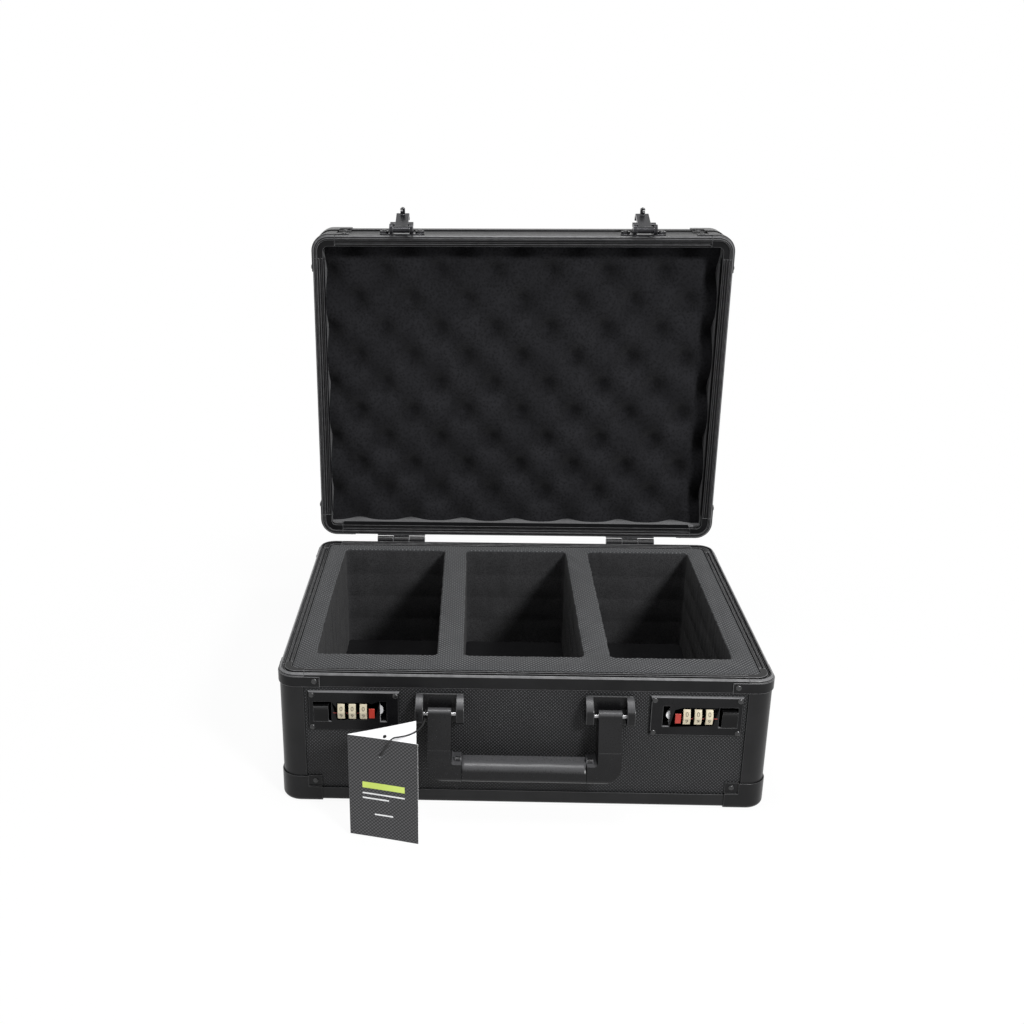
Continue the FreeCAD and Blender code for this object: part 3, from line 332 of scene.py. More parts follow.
blackMetal = {"dark": (0.005, 0.005, 0.0054), "light": (0.008, 0.008, 0.0085), "grainScale": 1400.0, "bump": 0.03}
satinLooks = {
    "edgeMetal": {**blackMetal, "edge": (0.03, 0.03, 0.031), "edgeSpecular": 0.35, "roughness": (0.32, 0.4),
                  "specular": 0.24},
    # the rims' edge colours are mostly a painted highlight along the bead, with some rubbing
    "rimMetal": {**blackMetal, "edge": (0.13, 0.13, 0.134), "roughness": (0.28, 0.36), "specular": 0.15},
    "lidRimMetal": {**blackMetal, "edge": (0.085, 0.085, 0.088), "edgeSpecular": 0.25, "roughness": (0.3, 0.38),
                    "specular": 0.07},
    "capMetal": {"dark": (0.004, 0.004, 0.0044), "light": (0.007, 0.007, 0.0074), "edge": (0.03, 0.03, 0.031),
                 "roughness": (0.28, 0.36), "specular": 0.2, "grainScale": 1100.0, "bump": 0.03},
    "rivetMetal": {"dark": (0.01, 0.01, 0.0105), "light": (0.016, 0.016, 0.017), "roughness": (0.2, 0.3),
                   "specular": 0.5, "grainScale": 1500.0, "bump": 0.03},
    # the lock plates' upward faces get a painted top light
    "lockMetal": {"dark": (0.0035, 0.0035, 0.004), "light": (0.006, 0.006, 0.0066), "edge": (0.05, 0.05, 0.052),
                  "upper": (0.2, 0.2, 0.207), "roughness": (0.25, 0.35), "specular": 0.16, "grainScale": 1500.0,
                  "bump": 0.03},
    "thumbBlack": {"dark": (0.003, 0.003, 0.0032), "light": (0.005, 0.005, 0.0054), "edge": (0.06, 0.06, 0.062),
                   "roughness": (0.3, 0.4), "specular": 0.16, "grainScale": 1500.0, "bump": 0.03},
    "hingeMetal": {"dark": (0.008, 0.008, 0.0085), "light": (0.013, 0.013, 0.014), "edge": (0.2, 0.2, 0.21),
                   "roughness": (0.22, 0.34), "specular": 0.3, "grainScale": 1400.0, "bump": 0.03},
    "haspMetal": {"dark": (0.018, 0.018, 0.02), "light": (0.03, 0.03, 0.033), "edge": (0.26, 0.26, 0.27),
                  "metallic": 0.6, "roughness": (0.22, 0.34), "specular": 0.3, "grainScale": 1500.0, "bump": 0.03},
    "pinSteel": {"dark": (0.24, 0.24, 0.245), "light": (0.3, 0.3, 0.305), "edge": (0.4, 0.4, 0.405),
                 "metallic": 0.9, "roughness": (0.22, 0.28), "grainScale": 1800.0, "bump": 0.0},
    # a near-white colour: a painted glint on the bolt, which lies in shade in its slot
    "boltBright": {"dark": (0.8, 0.8, 0.81), "light": (0.88, 0.88, 0.89), "metallic": 0.3, "roughness": (0.3, 0.45),
                   "grainScale": 1800.0, "bump": 0.03},
    # the handle's upward faces get a painted top light
    "handlePlastic": {"dark": (0.004, 0.004, 0.0044), "light": (0.0068, 0.0068, 0.0073), "edge": (0.02, 0.02, 0.021),
                      "upper": (0.06, 0.06, 0.063), "roughness": (0.26, 0.34), "specular": 0.22, "bump": 0.05},
    "dialIvory": {"dark": (0.4, 0.35, 0.25), "light": (0.52, 0.47, 0.35), "roughness": (0.25, 0.4),
                  "grainScale": 1200.0, "bump": 0.03},
    "digitPrint": {"dark": (0.03, 0.025, 0.02), "light": (0.07, 0.055, 0.04), "roughness": (0.4, 0.5)},
    "resetRed": {"dark": (0.3, 0.022, 0.015), "light": (0.4, 0.035, 0.022), "edge": (0.55, 0.12, 0.08),
                 "roughness": (0.3, 0.42), "grainScale": 1000.0},
    "indexRed": {"dark": (0.4, 0.06, 0.05), "light": (0.5, 0.09, 0.07), "roughness": (0.4, 0.5)},
    "tagInside": {"dark": (0.8, 0.8, 0.81), "light": (0.87, 0.87, 0.88), "roughness": (0.45, 0.6)},
    "tagLime": {"dark": (0.45, 0.56, 0.1), "light": (0.52, 0.64, 0.14), "roughness": (0.35, 0.45)},
    "tagPale": {"dark": (0.6, 0.6, 0.61), "light": (0.72, 0.72, 0.73), "roughness": (0.35, 0.45)},
    "cordBlack": {"dark": (0.006, 0.006, 0.006), "light": (0.015, 0.015, 0.015), "roughness": (0.6, 0.75),
                  "bump": 0.3},
}
finishes = {
    # embossed sheets: the lighter colour on the raised diamonds is a painted highlight
    "panelSkin": embossedFinish("diamondEmbossedSheet", {
        "pitch": 0.0027, "dark": (0.002, 0.002, 0.0023), "light": (0.04, 0.041, 0.044), "roughness": (0.34, 0.5),
        "specular": 0.3, "bump": 0.9}),
    "foamTop": embossedFinish("dimpledFoamTop", {
        "pitch": 0.0036, "dark": (0.035, 0.036, 0.038), "light": (0.12, 0.122, 0.126), "roughness": (0.8, 0.95),
        "specular": 0.2, "sheen": 0.05, "bump": 1.0}),
    "foamWall": foamFinish("cutFoamWall", {
        "dark": (0.012, 0.012, 0.0128), "light": (0.036, 0.036, 0.0377), "specular": 0.12, "sheen": 0.04}),
    "padFoam": foamFinish("darkFloorFoam", {
        "dark": (0.004, 0.004, 0.0044), "light": (0.011, 0.011, 0.012), "specular": 0.1}),
    "lidFoam": foamFinish("eggCrateFoam", {
        "dark": (0.004, 0.004, 0.0047), "light": (0.0145, 0.0145, 0.0163), "specular": 0.1, "sheen": 0.04,
        "poreScale": 420.0}),
    "lidLining": foamFinish("greyLining", {
        "dark": (0.085, 0.085, 0.088), "light": (0.17, 0.17, 0.175), "specular": 0.2, "poreScale": 1500.0}),
    "tagCover": weaveFinish("weavePrintCover", {
        "pitch": 0.0014, "dark": (0.01, 0.01, 0.011), "light": (0.066, 0.066, 0.069), "roughness": (0.32, 0.42)}),
}
for key, look in satinLooks.items():
    finishes[key] = satinFinish(key, look)
    # a second finish for rounded edges, lighter with rubbing and with a painted highlight
    if "edge" in look:
        finishes[key + "Edge"] = satinFinish(key + "Edge", look, True)
# nodes by the start of their names and slots by name; the other slots have finishes named after them
nodeFinish = {"base_rim": "rimMetal", "lid_rim": "lidRimMetal", "latch_bolt": "boltBright",
              "thumb_slide": "thumbBlack", "handle_grip_pins": "hingeMetal"}
slotFinish = {"case_foam": "foamWall", "tag_card": "tagCover", "tag_string": "cordBlack"}


def finishFor(node):
    for start, finish in nodeFinish.items():
        if node.startswith(start):
            return finish
    first, *others = slotOf[node].split("_")
    return slotFinish.get(slotOf[node], first + "".join(word.capitalize() for word in others))


print("finishes made:", len(finishes))


# pieces

def addPiece(name, shape, materials, node, smooth=True, sharp=None, replaces=True):  # shape: bmesh or mesh
    mesh = shape
    if isinstance(shape, bmesh.types.BMesh):
        mesh = bpy.data.meshes.new(name)
        shape.to_mesh(mesh)
        shape.free()
    for material in materials:
        mesh.materials.append(finishes[material])
    for polygon in mesh.polygons:
        polygon.use_smooth = smooth
    if sharp:
        mesh.set_sharp_from_angle(angle=math.radians(sharp))
    piece = bpy.data.objects.new(name, mesh)
    scene.collection.objects.link(piece)
    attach(piece, bodyOf[node])
    if replaces:
        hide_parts(node)
    return piece


weldGap = 0.000004  # metres
flatAngle = 1.0  # degrees


def cadCopy(node, joinFlats=True):  # the node's surface, with its flat faces joined up again
    bm = bmesh.new()
    bm.from_mesh(frame["nodes"][node].data)
    bmesh.ops.remove_doubles(bm, verts=bm.verts, dist=weldGap)
    if joinFlats:
        bmesh.ops.dissolve_limit(bm, angle_limit=math.radians(flatAngle), verts=bm.verts, edges=bm.edges)
    return bm


def joinLoops(bm, loops):  # walls between neighbouring loops of points, and a face at each end
    rows = [[bm.verts.new(point) for point in loop] for loop in loops]
    for first, second in zip(rows, rows[1:]):
        for k in range(len(first)):
            bm.faces.new((first[k - 1], first[k], second[k], second[k - 1]))
    bm.faces.new(list(reversed(rows[0])))
    bm.faces.new(rows[-1])


def pushOut(bm, loop, way):  # closed prism from a loop of points
    joinLoops(bm, [loop, [point + way for point in loop]])


def lofted(loops):  # closed shape through loops with the same count of points
    bm = bmesh.new()
    joinLoops(bm, loops)
    bmesh.ops.recalc_face_normals(bm, faces=bm.faces)
    return bm


cornerSteps = 4


def roundedLoop(x0, x1, y0, y1, radius, step):  # points round a rectangle with rounded corners, each with its way out
    points = []
    for cx, cy, start in ((x1 - radius, y0 + radius, -90), (x1 - radius, y1 - radius, 0),
                          (x0 + radius, y1 - radius, 90), (x0 + radius, y0 + radius, 180)):
        for k in range(cornerSteps + 1):
            angle = math.radians(start + 90 * k / cornerSteps)
            out = Vector((math.cos(angle), math.sin(angle)))
            points.append((Vector((cx, cy)) + out * radius, out))
    dense = []
    for (first, outFirst), (second, outSecond) in zip(points, points[1:] + points[:1]):
        count = max(1, round((second - first).length / step))
        for k in range(count):
            share = k / count
            dense.append((first.lerp(second, share), outFirst.lerp(outSecond, share).normalized()))
    return dense


def slab(outline, levels):  # closed shape from an outline that is drawn in by an inset at each height
    return lofted([[casePoint(*(point - out * inset), z) for point, out in outline] for z, inset in levels])


def addBlock(bm, low, high):  # box between two corners
    for vert in bmesh.ops.create_cube(bm, size=1.0)["verts"]:
        vert.co = [start + (end - start) * (share + 0.5) for start, end, share in zip(low, high, vert.co)]


def helperObject(name, bm):
    mesh = bpy.data.meshes.new(name)
    bm.to_mesh(mesh)
    bm.free()
    helper = bpy.data.objects.new(name, mesh)
    scene.collection.objects.link(helper)
    return helper


def meshFrom(item):  # mesh of an object with its modifiers applied
    graph = bpy.context.evaluated_depsgraph_get()
    return bpy.data.meshes.new_from_object(item.evaluated_get(graph))


def cutMesh(bm, cutters):  # takes the cutters out of the shape, one after the other
    target = helperObject("cutStart", bm)
    helpers = [helperObject("cutTool", cutter) for cutter in cutters]
    for helper in helpers:
        cut = target.modifiers.new("cut", "BOOLEAN")
        cut.operation = "DIFFERENCE"
        cut.solver = "EXACT"
        cut.object = helper
    result = meshFrom(target)
    for item in [target] + helpers:
        bpy.data.objects.remove(item)
    return result


def softenEdges(piece, width, segments=2, angle=28.0, clamp=True):
    bevel = piece.modifiers.new("roundedEdges", "BEVEL")
    bevel.width = width * mm
    bevel.segments = segments
    bevel.limit_method = "ANGLE"
    bevel.angle_limit = math.radians(angle)
    bevel.use_clamp_overlap = clamp
    bevel.miter_outer = "MITER_ARC"
    bevel.material = 1  # rounded edges take the edge finish, worn by rubbing and with a painted highlight
    bevel.face_strength_mode = "FSTR_AFFECTED"
    normals = piece.modifiers.new("flatFaces", "WEIGHTED_NORMAL")
    normals.use_face_influence = True


def jointPlace(name):
    for joint in record["behaviour"]["joints"]:
        if joint["name"] == name:
            return Vector(joint["pos_m"])


sideSign = {"left": -1, "right": 1}

# rigid pieces that keep their modelled form and gain rounded edges, in millimetres
edgeRounding = {
    "base_corner_posts": 0.35, "lid_corner_posts": 0.35, "base_edge_trims": 0.35, "lid_edge_trims": 0.35,
    "base_rim_rails": 0.3, "lid_rim_rails": 0.3, "base_rim_corners": 0.3, "lid_rim_corners": 0.3,
    "base_corner_caps": 0.25, "lid_corner_caps": 0.25, "hinge_base_leaves": 0.25, "hinge_lid_leaves": 0.25,
    "hasp_bases": 0.25, "hasp_arm_left": 0.3, "hasp_arm_right": 0.3, "lock_plate_left": 0.25,
    "lock_plate_right": 0.25, "thumb_slide_left": 0.3, "thumb_slide_right": 0.3, "reset_tab_left": 0.2,
    "reset_tab_right": 0.2, "handle_arm_left": 0.9, "handle_arm_right": 0.9,
    "handle_pivot_pins": 0.3, "handle_grip_pins": 0.4, "hasp_pins": 0.3, "hinge_pins": 0.3}
broadEdge = 0.5  # wider edges than this get one more segment

beadHighlight = {"slant": (0.35, 0.92)}  # how far the bead's slanted faces look along the rim's axis


def markBeads(bm, axis):  # slanted faces of the rim's bead take the lighter edge finish, a painted highlight along the bead with some rubbing
    low, high = beadHighlight["slant"]
    for face in bm.faces:
        if low < abs(face.normal[axis]) < high:
            face.material_index = 1


resetTab = {"keep": 0.76}  # share of the button's height that shows, from its foot


def lowerTab(bm):
    low = min(v.co.z for v in bm.verts)
    for vert in bm.verts:
        vert.co.z = low + (vert.co.z - low) * resetTab["keep"]


# arm of a hasp: a lower point on its hook, and a wide step beyond the ears
haspArm = {"openAngle": 161.0, "half": 1.5, "above": 0.1, "hookKeep": 0.5, "stepNear": 7.2, "stepFar": 11.4,
           "stepHalf": 10.2, "stepThick": 2.6, "stepOverlap": 0.3}


def armAxes(node):  # pivot of an open arm, the way along it and the way its hook stands
    pivot = jointPlace("hasp_swing_" + node.split("_")[-1])
    turn = math.radians(haspArm["openAngle"])
    return pivot, Vector((0, -math.cos(turn), math.sin(turn))), Vector((0, -math.sin(turn), -math.cos(turn)))


def shortenHook(bm, node):
    pivot, _, out = armAxes(node)
    seat = haspArm["half"] * mm
    for vert in bm.verts:
        stand = (vert.co - pivot).dot(out)
        if stand > seat + haspArm["above"] * mm:
            vert.co += out * (stand - seat) * (haspArm["hookKeep"] - 1.0)


def widenArm(bm, node):
    pivot, along, out = armAxes(node)
    near, far, reach, thick = (haspArm[key] * mm for key in ("stepNear", "stepFar", "stepHalf", "stepThick"))
    beyond = [v.co.x for v in bm.verts if (v.co - pivot).dot(along) > near]
    middle = (min(beyond) + max(beyond)) / 2
    inner = (max(beyond) - min(beyond)) / 2 - haspArm["stepOverlap"] * mm
    axes = Matrix((Vector((1, 0, 0)), along, out)).transposed().to_4x4()
    size = Matrix.Diagonal((reach - inner, far - near, thick, 1.0))
    spot = pivot + along * (near + far) / 2
    for sign in sideSign.values():
        spot.x = middle + sign * (reach + inner) / 2
        bmesh.ops.create_cube(bm, size=1.0, matrix=Matrix.Translation(spot) @ axes @ size)


# groove where the sleeve of a handle arm ends
armSeam = {"height": 57.5, "half": 0.55, "deep": 0.25, "cutGap": 0.001, "near": 0.01}


def grooveArm(bm):
    low = Vector((0, 0, (armSeam["height"] - armSeam["half"]) * mm))
    for step in (0, 1, 2):
        spot = low + Vector((0, 0, armSeam["half"] * mm * step))
        bmesh.ops.bisect_plane(bm, geom=bm.verts[:] + bm.edges[:] + bm.faces[:], dist=armSeam["cutGap"] * mm,
                               plane_co=spot, plane_no=Vector((0, 0, 1)))
    ring = [v for v in bm.verts if abs(v.co.z - armSeam["height"] * mm) < armSeam["near"] * mm]
    for axis in (0, 1):
        places = [v.co[axis] for v in ring]
        middle, half = (min(places) + max(places)) / 2, (max(places) - min(places)) / 2
        for vert in ring:
            vert.co[axis] = middle + (vert.co[axis] - middle) * (1.0 - armSeam["deep"] * mm / half)
    bm.normal_update()


def dressRigid():
    for node, width in edgeRounding.items():
        bm = cadCopy(node)
        if "_rim_" in node:
            markBeads(bm, 2 if node.startswith("base") else 1)
        if node.startswith("reset_tab"):
            lowerTab(bm)
        if node.startswith("hasp_arm"):
            shortenHook(bm, node)
            widenArm(bm, node)
        if node.startswith("handle_arm"):
            grooveArm(bm)
        finish = finishFor(node)
        piece = addPiece("dressed_" + node, bm, [finish, finish + "Edge"], node)
        # one tiny edge would hold back all the others of a rim corner, so these aren't clamped
        softenEdges(piece, width, 3 if width > broadEdge else 2, clamp=not node.endswith("rim_corners"))


dressRigid()
print("rigid pieces dressed:", len(edgeRounding))


# handle brackets: a plate on the panel with two rounded lugs that hold the pin
bracket = {"width": 36.6, "plate": 2.0, "rise": 13.0, "fall": 11.0, "corner": 2.5, "lug": 6.2, "panelY": -138.5,
           "pivotZ": 82.3, "round": 0.7, "roundSegments": 3, "roundAngle": 40.0,
           "lugSide": [(-139.0, -6.8), (-139.0, 12.4), (-142.2, 12.2), (-145.5, 10.6), (-149.0, 8.2), (-151.4, 6.0),
                       (-152.4, 3.6), (-152.6, 0.0), (-152.6, -3.8), (-152.0, -5.6), (-150.4, -6.8)]}


def makeBrackets():
    b = bracket
    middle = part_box("handle_brackets")[1][0] / mm - b["width"] / 2
    low, high = b["pivotZ"] - b["fall"], b["pivotZ"] + b["rise"]
    bm = bmesh.new()
    for sign in sideSign.values():
        x0, x1 = sign * middle - b["width"] / 2, sign * middle + b["width"] / 2
        plate = roundedLoop(x0, x1, low, high, b["corner"], math.inf)
        pushOut(bm, [casePoint(p.x, b["panelY"], p.y) for p, _ in plate], Vector((0, -b["plate"] * mm, 0)))
        for start in (x0, x1 - b["lug"]):
            lug = [casePoint(start, y, b["pivotZ"] + z) for y, z in b["lugSide"]]
            pushOut(bm, lug, Vector((b["lug"] * mm, 0, 0)))
    bmesh.ops.recalc_face_normals(bm, faces=bm.faces)
    piece = addPiece("lugBrackets", bm, ["handlePlastic", "handlePlasticEdge"], "handle_brackets")
    softenEdges(piece, b["round"], b["roundSegments"], b["roundAngle"])


makeBrackets()
print("brackets made")


# rivets: round domed heads where the solids have six-sided ones
rivetShape = {"sides": 20, "brim": 1.9, "sharp": 50.0,
              "profile": [(2.3, 0.0), (2.3, 0.22), (2.12, 0.5), (1.7, 0.8), (1.1, 1.0), (0.45, 1.09)]}


def islands(bm):  # vertices of each separate solid in a mesh
    left = set(bm.verts)
    while left:
        stack = [left.pop()]
        found = []
        while stack:
            vert = stack.pop()
            found.append(vert)
            for edge in vert.link_edges:
                other = edge.other_vert(vert)
                if other in left:
                    left.discard(other)
                    stack.append(other)
        yield found


def rivetSeat(group):  # foot of a head and the way that the head looks
    low = Vector([min(v.co[k] for v in group) for k in range(3)])
    high = Vector([max(v.co[k] for v in group) for k in range(3)])
    middle = (low + high) / 2
    axis = min(range(3), key=lambda k: high[k] - low[k])  # a head is thinner than it is wide
    brim = []
    for vert in group:
        away = vert.co - middle
        away[axis] = 0.0
        if away.length > rivetShape["brim"] * mm:
            brim.append(vert.co[axis])
    seat, out = middle.copy(), Vector((0, 0, 0))
    seat[axis] = sum(brim) / len(brim)
    out[axis] = 1.0 if seat[axis] < middle[axis] else -1.0
    return seat, out


def makeRivets(node):
    turns = [2 * math.pi * k / rivetShape["sides"] for k in range(rivetShape["sides"])]
    rings = [[Vector((radius * math.cos(t), radius * math.sin(t), rise)) * mm for t in turns]
             for radius, rise in rivetShape["profile"]]
    source = cadCopy(node, joinFlats=False)
    bm = bmesh.new()
    for group in islands(source):
        seat, out = rivetSeat(group)
        aim = out.to_track_quat("Z", "Y").to_matrix()
        joinLoops(bm, [[aim @ point + seat for point in ring] for ring in rings])
    source.free()
    bmesh.ops.recalc_face_normals(bm, faces=bm.faces)
    addPiece("domed_" + node, bm, ["rivetMetal"], node, sharp=rivetShape["sharp"])


makeRivets("base_rivets")
makeRivets("lid_rivets")
print("rivets made")


# foam block in the base: three rows with slightly ragged knife-cut edges
foamBlock = {"across": 175.3, "along": 130.3, "low": 16.05, "top": 109.8, "corner": 4.2, "rowWidth": 92.0,
             "sideWall": 16.7, "divider": 20.6, "frontWall": 26.0, "backWall": 12.6, "rowCorner": 4.0, "rows": 3,
             "outlineStep": 6.0, "rowStep": 2.2, "topEdge": [(1.2, 0.0), (0.4, 0.35), (0.0, 1.2)],
             "layer": 23.0, "layerCut": 0.16, "seam": 0.7, "seamSteps": (0.6, 1.4), "clear": 3.0,
             "lip": 2.0, "lipSteps": (-2.0, -0.9, -0.2, 1.5), "soft": 0.9, "past": 2.0,
             "ragged": 0.6, "rough": (0.9, 0.19, 0.02), "fine": (0.8, 0.55, 0.15), "rowShift": 7, "fineShift": 40,
             "bow": 1.6, "bowFacing": -0.7, "upward": 0.5, "sharp": 40.0,
             "lockX": 128.0, "lockReach": 33.2, "lockTop": 93.9, "lockBack": -122.0, "lockGap": 0.2}


def rowLevels():  # heights of a cutter's loops, close together at the seams between layers and at the lip
    f = foamBlock
    first, second = f["seamSteps"]
    levels = [f["low"] - f["past"]]
    z = f["low"]
    while z < f["top"] - f["clear"]:
        levels += [z + first, z + second, z + f["layer"] / 2, z + f["layer"] - first]
        z += f["layer"]
    return [z for z in levels if z < f["top"] - f["clear"]] + [f["top"] + rise for rise in f["lipSteps"]]


def wallWave(wave, point, z, shift):  # one wave of the knife's unevenness
    share, across, up = wave
    return share * noise.noise(Vector((point.x * across, point.y * across, z * up + shift)))


def rowCutter(index):
    f = foamBlock
    x0 = -f["across"] + f["sideWall"] + index * (f["rowWidth"] + f["divider"])
    base = roundedLoop(x0, x0 + f["rowWidth"], -f["along"] + f["frontWall"], f["along"] - f["backWall"],
                       f["rowCorner"], f["rowStep"])
    loops = []
    for z in rowLevels():
        seam = (z - f["low"]) % f["layer"] < f["seam"] and z > f["low"] + f["clear"]
        flare = f["soft"] * max(0.0, 1.0 - (f["top"] - z) / f["lip"]) ** 2
        loop = []
        for point, out in base:
            waves = (wallWave(f["rough"], point, z, index * f["rowShift"])
                     + wallWave(f["fine"], point, z, f["fineShift"]))
            push = f["ragged"] * waves + flare + (f["layerCut"] if seam else 0.0)
            if index == 0 and out.x < f["bowFacing"]:
                middle = max(0.0, 1.0 - (point.y / f["along"]) ** 2)
                push += f["bow"] * middle * (z - f["low"]) / (f["top"] - f["low"])
            spot = point + out * push
            loop.append(casePoint(spot.x, spot.y, z))
        loops.append(loop)
    return lofted(loops)


def makeFoamBlock():
    f = foamBlock
    outline = roundedLoop(-f["across"], f["across"], -f["along"], f["along"], f["corner"], f["outlineStep"])
    levels = [(f["low"], 0.0)] + [(f["top"] - drop, inset) for drop, inset in f["topEdge"]]
    cutters = [rowCutter(index) for index in range(f["rows"])]
    for sign in sideSign.values():
        x = sign * f["lockX"]
        block = bmesh.new()
        addBlock(block, casePoint(x - f["lockReach"], -f["along"] - f["past"], f["low"] - f["past"]),
                 casePoint(x + f["lockReach"], f["lockBack"] + f["lockGap"], f["lockTop"] + f["lockGap"]))
        cutters.append(block)
    mesh = cutMesh(slab(outline, levels), cutters)
    piece = addPiece("foamBlock", mesh, ["foamTop", "foamWall"], "foam_insert", smooth=False)
    for polygon in mesh.polygons:
        upward = polygon.normal.z > f["upward"]
        polygon.material_index = 0 if upward else 1
        polygon.use_smooth = not upward
    mesh.set_sharp_from_angle(angle=math.radians(f["sharp"]))


makeFoamBlock()

floorPad = {"across": 175.3, "along": 130.3, "low": 8.05, "high": 16.05, "soft": 1.2, "corner": 4.2, "step": 12.0}


def makeFloorPad():
    p = floorPad
    outline = roundedLoop(-p["across"], p["across"], -p["along"], p["along"], p["corner"], p["step"])
    low, high, soft = p["low"], p["high"], p["soft"]
    levels = ((low, soft), (low + soft, 0.0), (high - soft, 0.0), (high, soft))
    piece = addPiece("floorPad", slab(outline, levels), ["padFoam"], "foam_base_pad", smooth=False)


makeFloorPad()
print("base foam made")


# egg-crate sheet in the lid, which stands open at the back
eggCrate = {"across": 176.1, "along": 131.1, "columns": 14, "rows": 10, "perCell": 9, "wave": 8.5, "share": 0.97,
            "meanY": 170.8, "backY": 194.6, "middleZ": 254.8, "broad": 1.05, "hingeDepth": 0.55, "hingeRise": 0.3,
            "drift": 0.8, "driftScale": 0.03, "driftShift": 3.0, "sharp": 60.0}


def crateWave(u, v):  # 1 at a top and -1 in a hollow, with broad tops and narrow hollows
    e = eggCrate
    wave = math.cos(math.pi * u) * math.cos(math.pi * v)
    full = 1.0 - math.exp(-2.0 * e["broad"])
    wave = 2.0 * (1.0 - math.exp(-e["broad"] * (wave + 1.0))) / full - 1.0
    return 1.0 + (wave - 1.0) * min(1.0, e["hingeDepth"] + e["hingeRise"] * v)  # shallower beside the hinge


def makeEggCrate():
    e = eggCrate
    across, along = e["columns"] * e["perCell"], e["rows"] * e["perCell"]
    bm = bmesh.new()
    front = []
    for j in range(along + 1):
        line = []
        for i in range(across + 1):
            x = -e["across"] + 2 * e["across"] * i / across
            z = e["middleZ"] - e["along"] + 2 * e["along"] * j / along
            wave = crateWave(i / e["perCell"], j / e["perCell"])
            drift = e["drift"] * noise.noise(Vector((x * e["driftScale"], z * e["driftScale"], e["driftShift"])))
            line.append(bm.verts.new(casePoint(x, e["meanY"] - e["wave"] * wave * e["share"] + drift, z)))
        front.append(line)
    for j in range(along):
        for i in range(across):
            bm.faces.new((front[j][i], front[j][i + 1], front[j + 1][i + 1], front[j + 1][i]))
    rim = front[0] + [line[-1] for line in front[1:]] + front[-1][-2::-1] + [line[0] for line in front[-2:0:-1]]
    back = [bm.verts.new((v.co.x, e["backY"] * mm + caseY, v.co.z)) for v in rim]
    for k in range(len(rim)):
        bm.faces.new((rim[k], rim[k - 1], back[k - 1], back[k]))
    bm.faces.new(back)
    bmesh.ops.recalc_face_normals(bm, faces=bm.faces)
    piece = addPiece("eggCrateFoam", bm, ["lidFoam"], "lid_foam", sharp=e["sharp"])


makeEggCrate()
print("lid foam made")


# palm bar of the handle: a rounded bar with a broad crown, faintly uneven along its length
palmBar = {"half": 46.5, "steps": 40, "endGap": 0.2, "spacing": 1.2, "endRound": 0.4, "endInset": 0.35,
           "uneven": 0.16, "sink": 0.1, "wavesAlong": 55, "wavesRound": 160, "sharp": 50.0}


def makePalmBar():
    p = palmBar
    source = cadCopy("handle_grip")
    end = [v for v in source.verts if v.co.x < (-p["half"] + p["endGap"]) * mm]
    middleY = sum(v.co.y for v in end) / len(end)
    middleZ = sum(v.co.z for v in end) / len(end)
    ring = sorted(((v.co.y, v.co.z) for v in end), key=lambda q: math.atan2(q[1] - middleZ, q[0] - middleY))
    source.free()
    dense = []
    for first, second in zip(ring, ring[1:] + ring[:1]):
        count = max(1, round(math.dist(first, second) / (p["spacing"] * mm)))
        dense += [(first[0] + (second[0] - first[0]) * k / count, first[1] + (second[1] - first[1]) * k / count)
                  for k in range(count)]
    half, steps, turnIn = p["half"] * mm, p["steps"], p["endRound"] * mm
    stations = [(-half, p["endInset"]), (-half + turnIn, 0.0)]
    stations += [(-half + 2 * half * k / steps, 0.0) for k in range(1, steps)]
    stations += [(half - turnIn, 0.0), (half, p["endInset"])]
    loops = []
    for x, inset in stations:
        loop = []
        for y, z in dense:
            out = Vector((0, y - middleY, z - middleZ)).normalized()
            spot = Vector((x * p["wavesAlong"], y * p["wavesRound"], z * p["wavesRound"]))
            wave = p["uneven"] * noise.noise(spot) - p["sink"]
            loop.append(Vector((x, y, z)) + out * (wave - inset) * mm)
        loops.append(loop)
    addPiece("palmBar", lofted(loops), ["handlePlastic"], "handle_grip", sharp=p["sharp"])


makePalmBar()
print("palm bar made")


# number wheels: ten flats each, with a printed digit on every flat
numberWheel = {"radius": 9.6, "flats": 10, "digitSize": 4.8, "slim": 0.86, "lift": 0.05, "height": 79.3,
               "middleY": -133.924, "cornerFrom": 0.4, "round": 0.28, "sharp": 24.0}


def digitMesh(text):
    curve = bpy.data.curves.new("digit", "FONT")
    curve.body = text
    curve.size = numberWheel["digitSize"] * mm
    curve.align_x = "CENTER"
    curve.align_y = "CENTER"
    holder = bpy.data.objects.new("digit", curve)
    scene.collection.objects.link(holder)
    mesh = meshFrom(holder)
    bpy.data.objects.remove(holder)
    return mesh


digits = [digitMesh(str(k)) for k in range(numberWheel["flats"])]


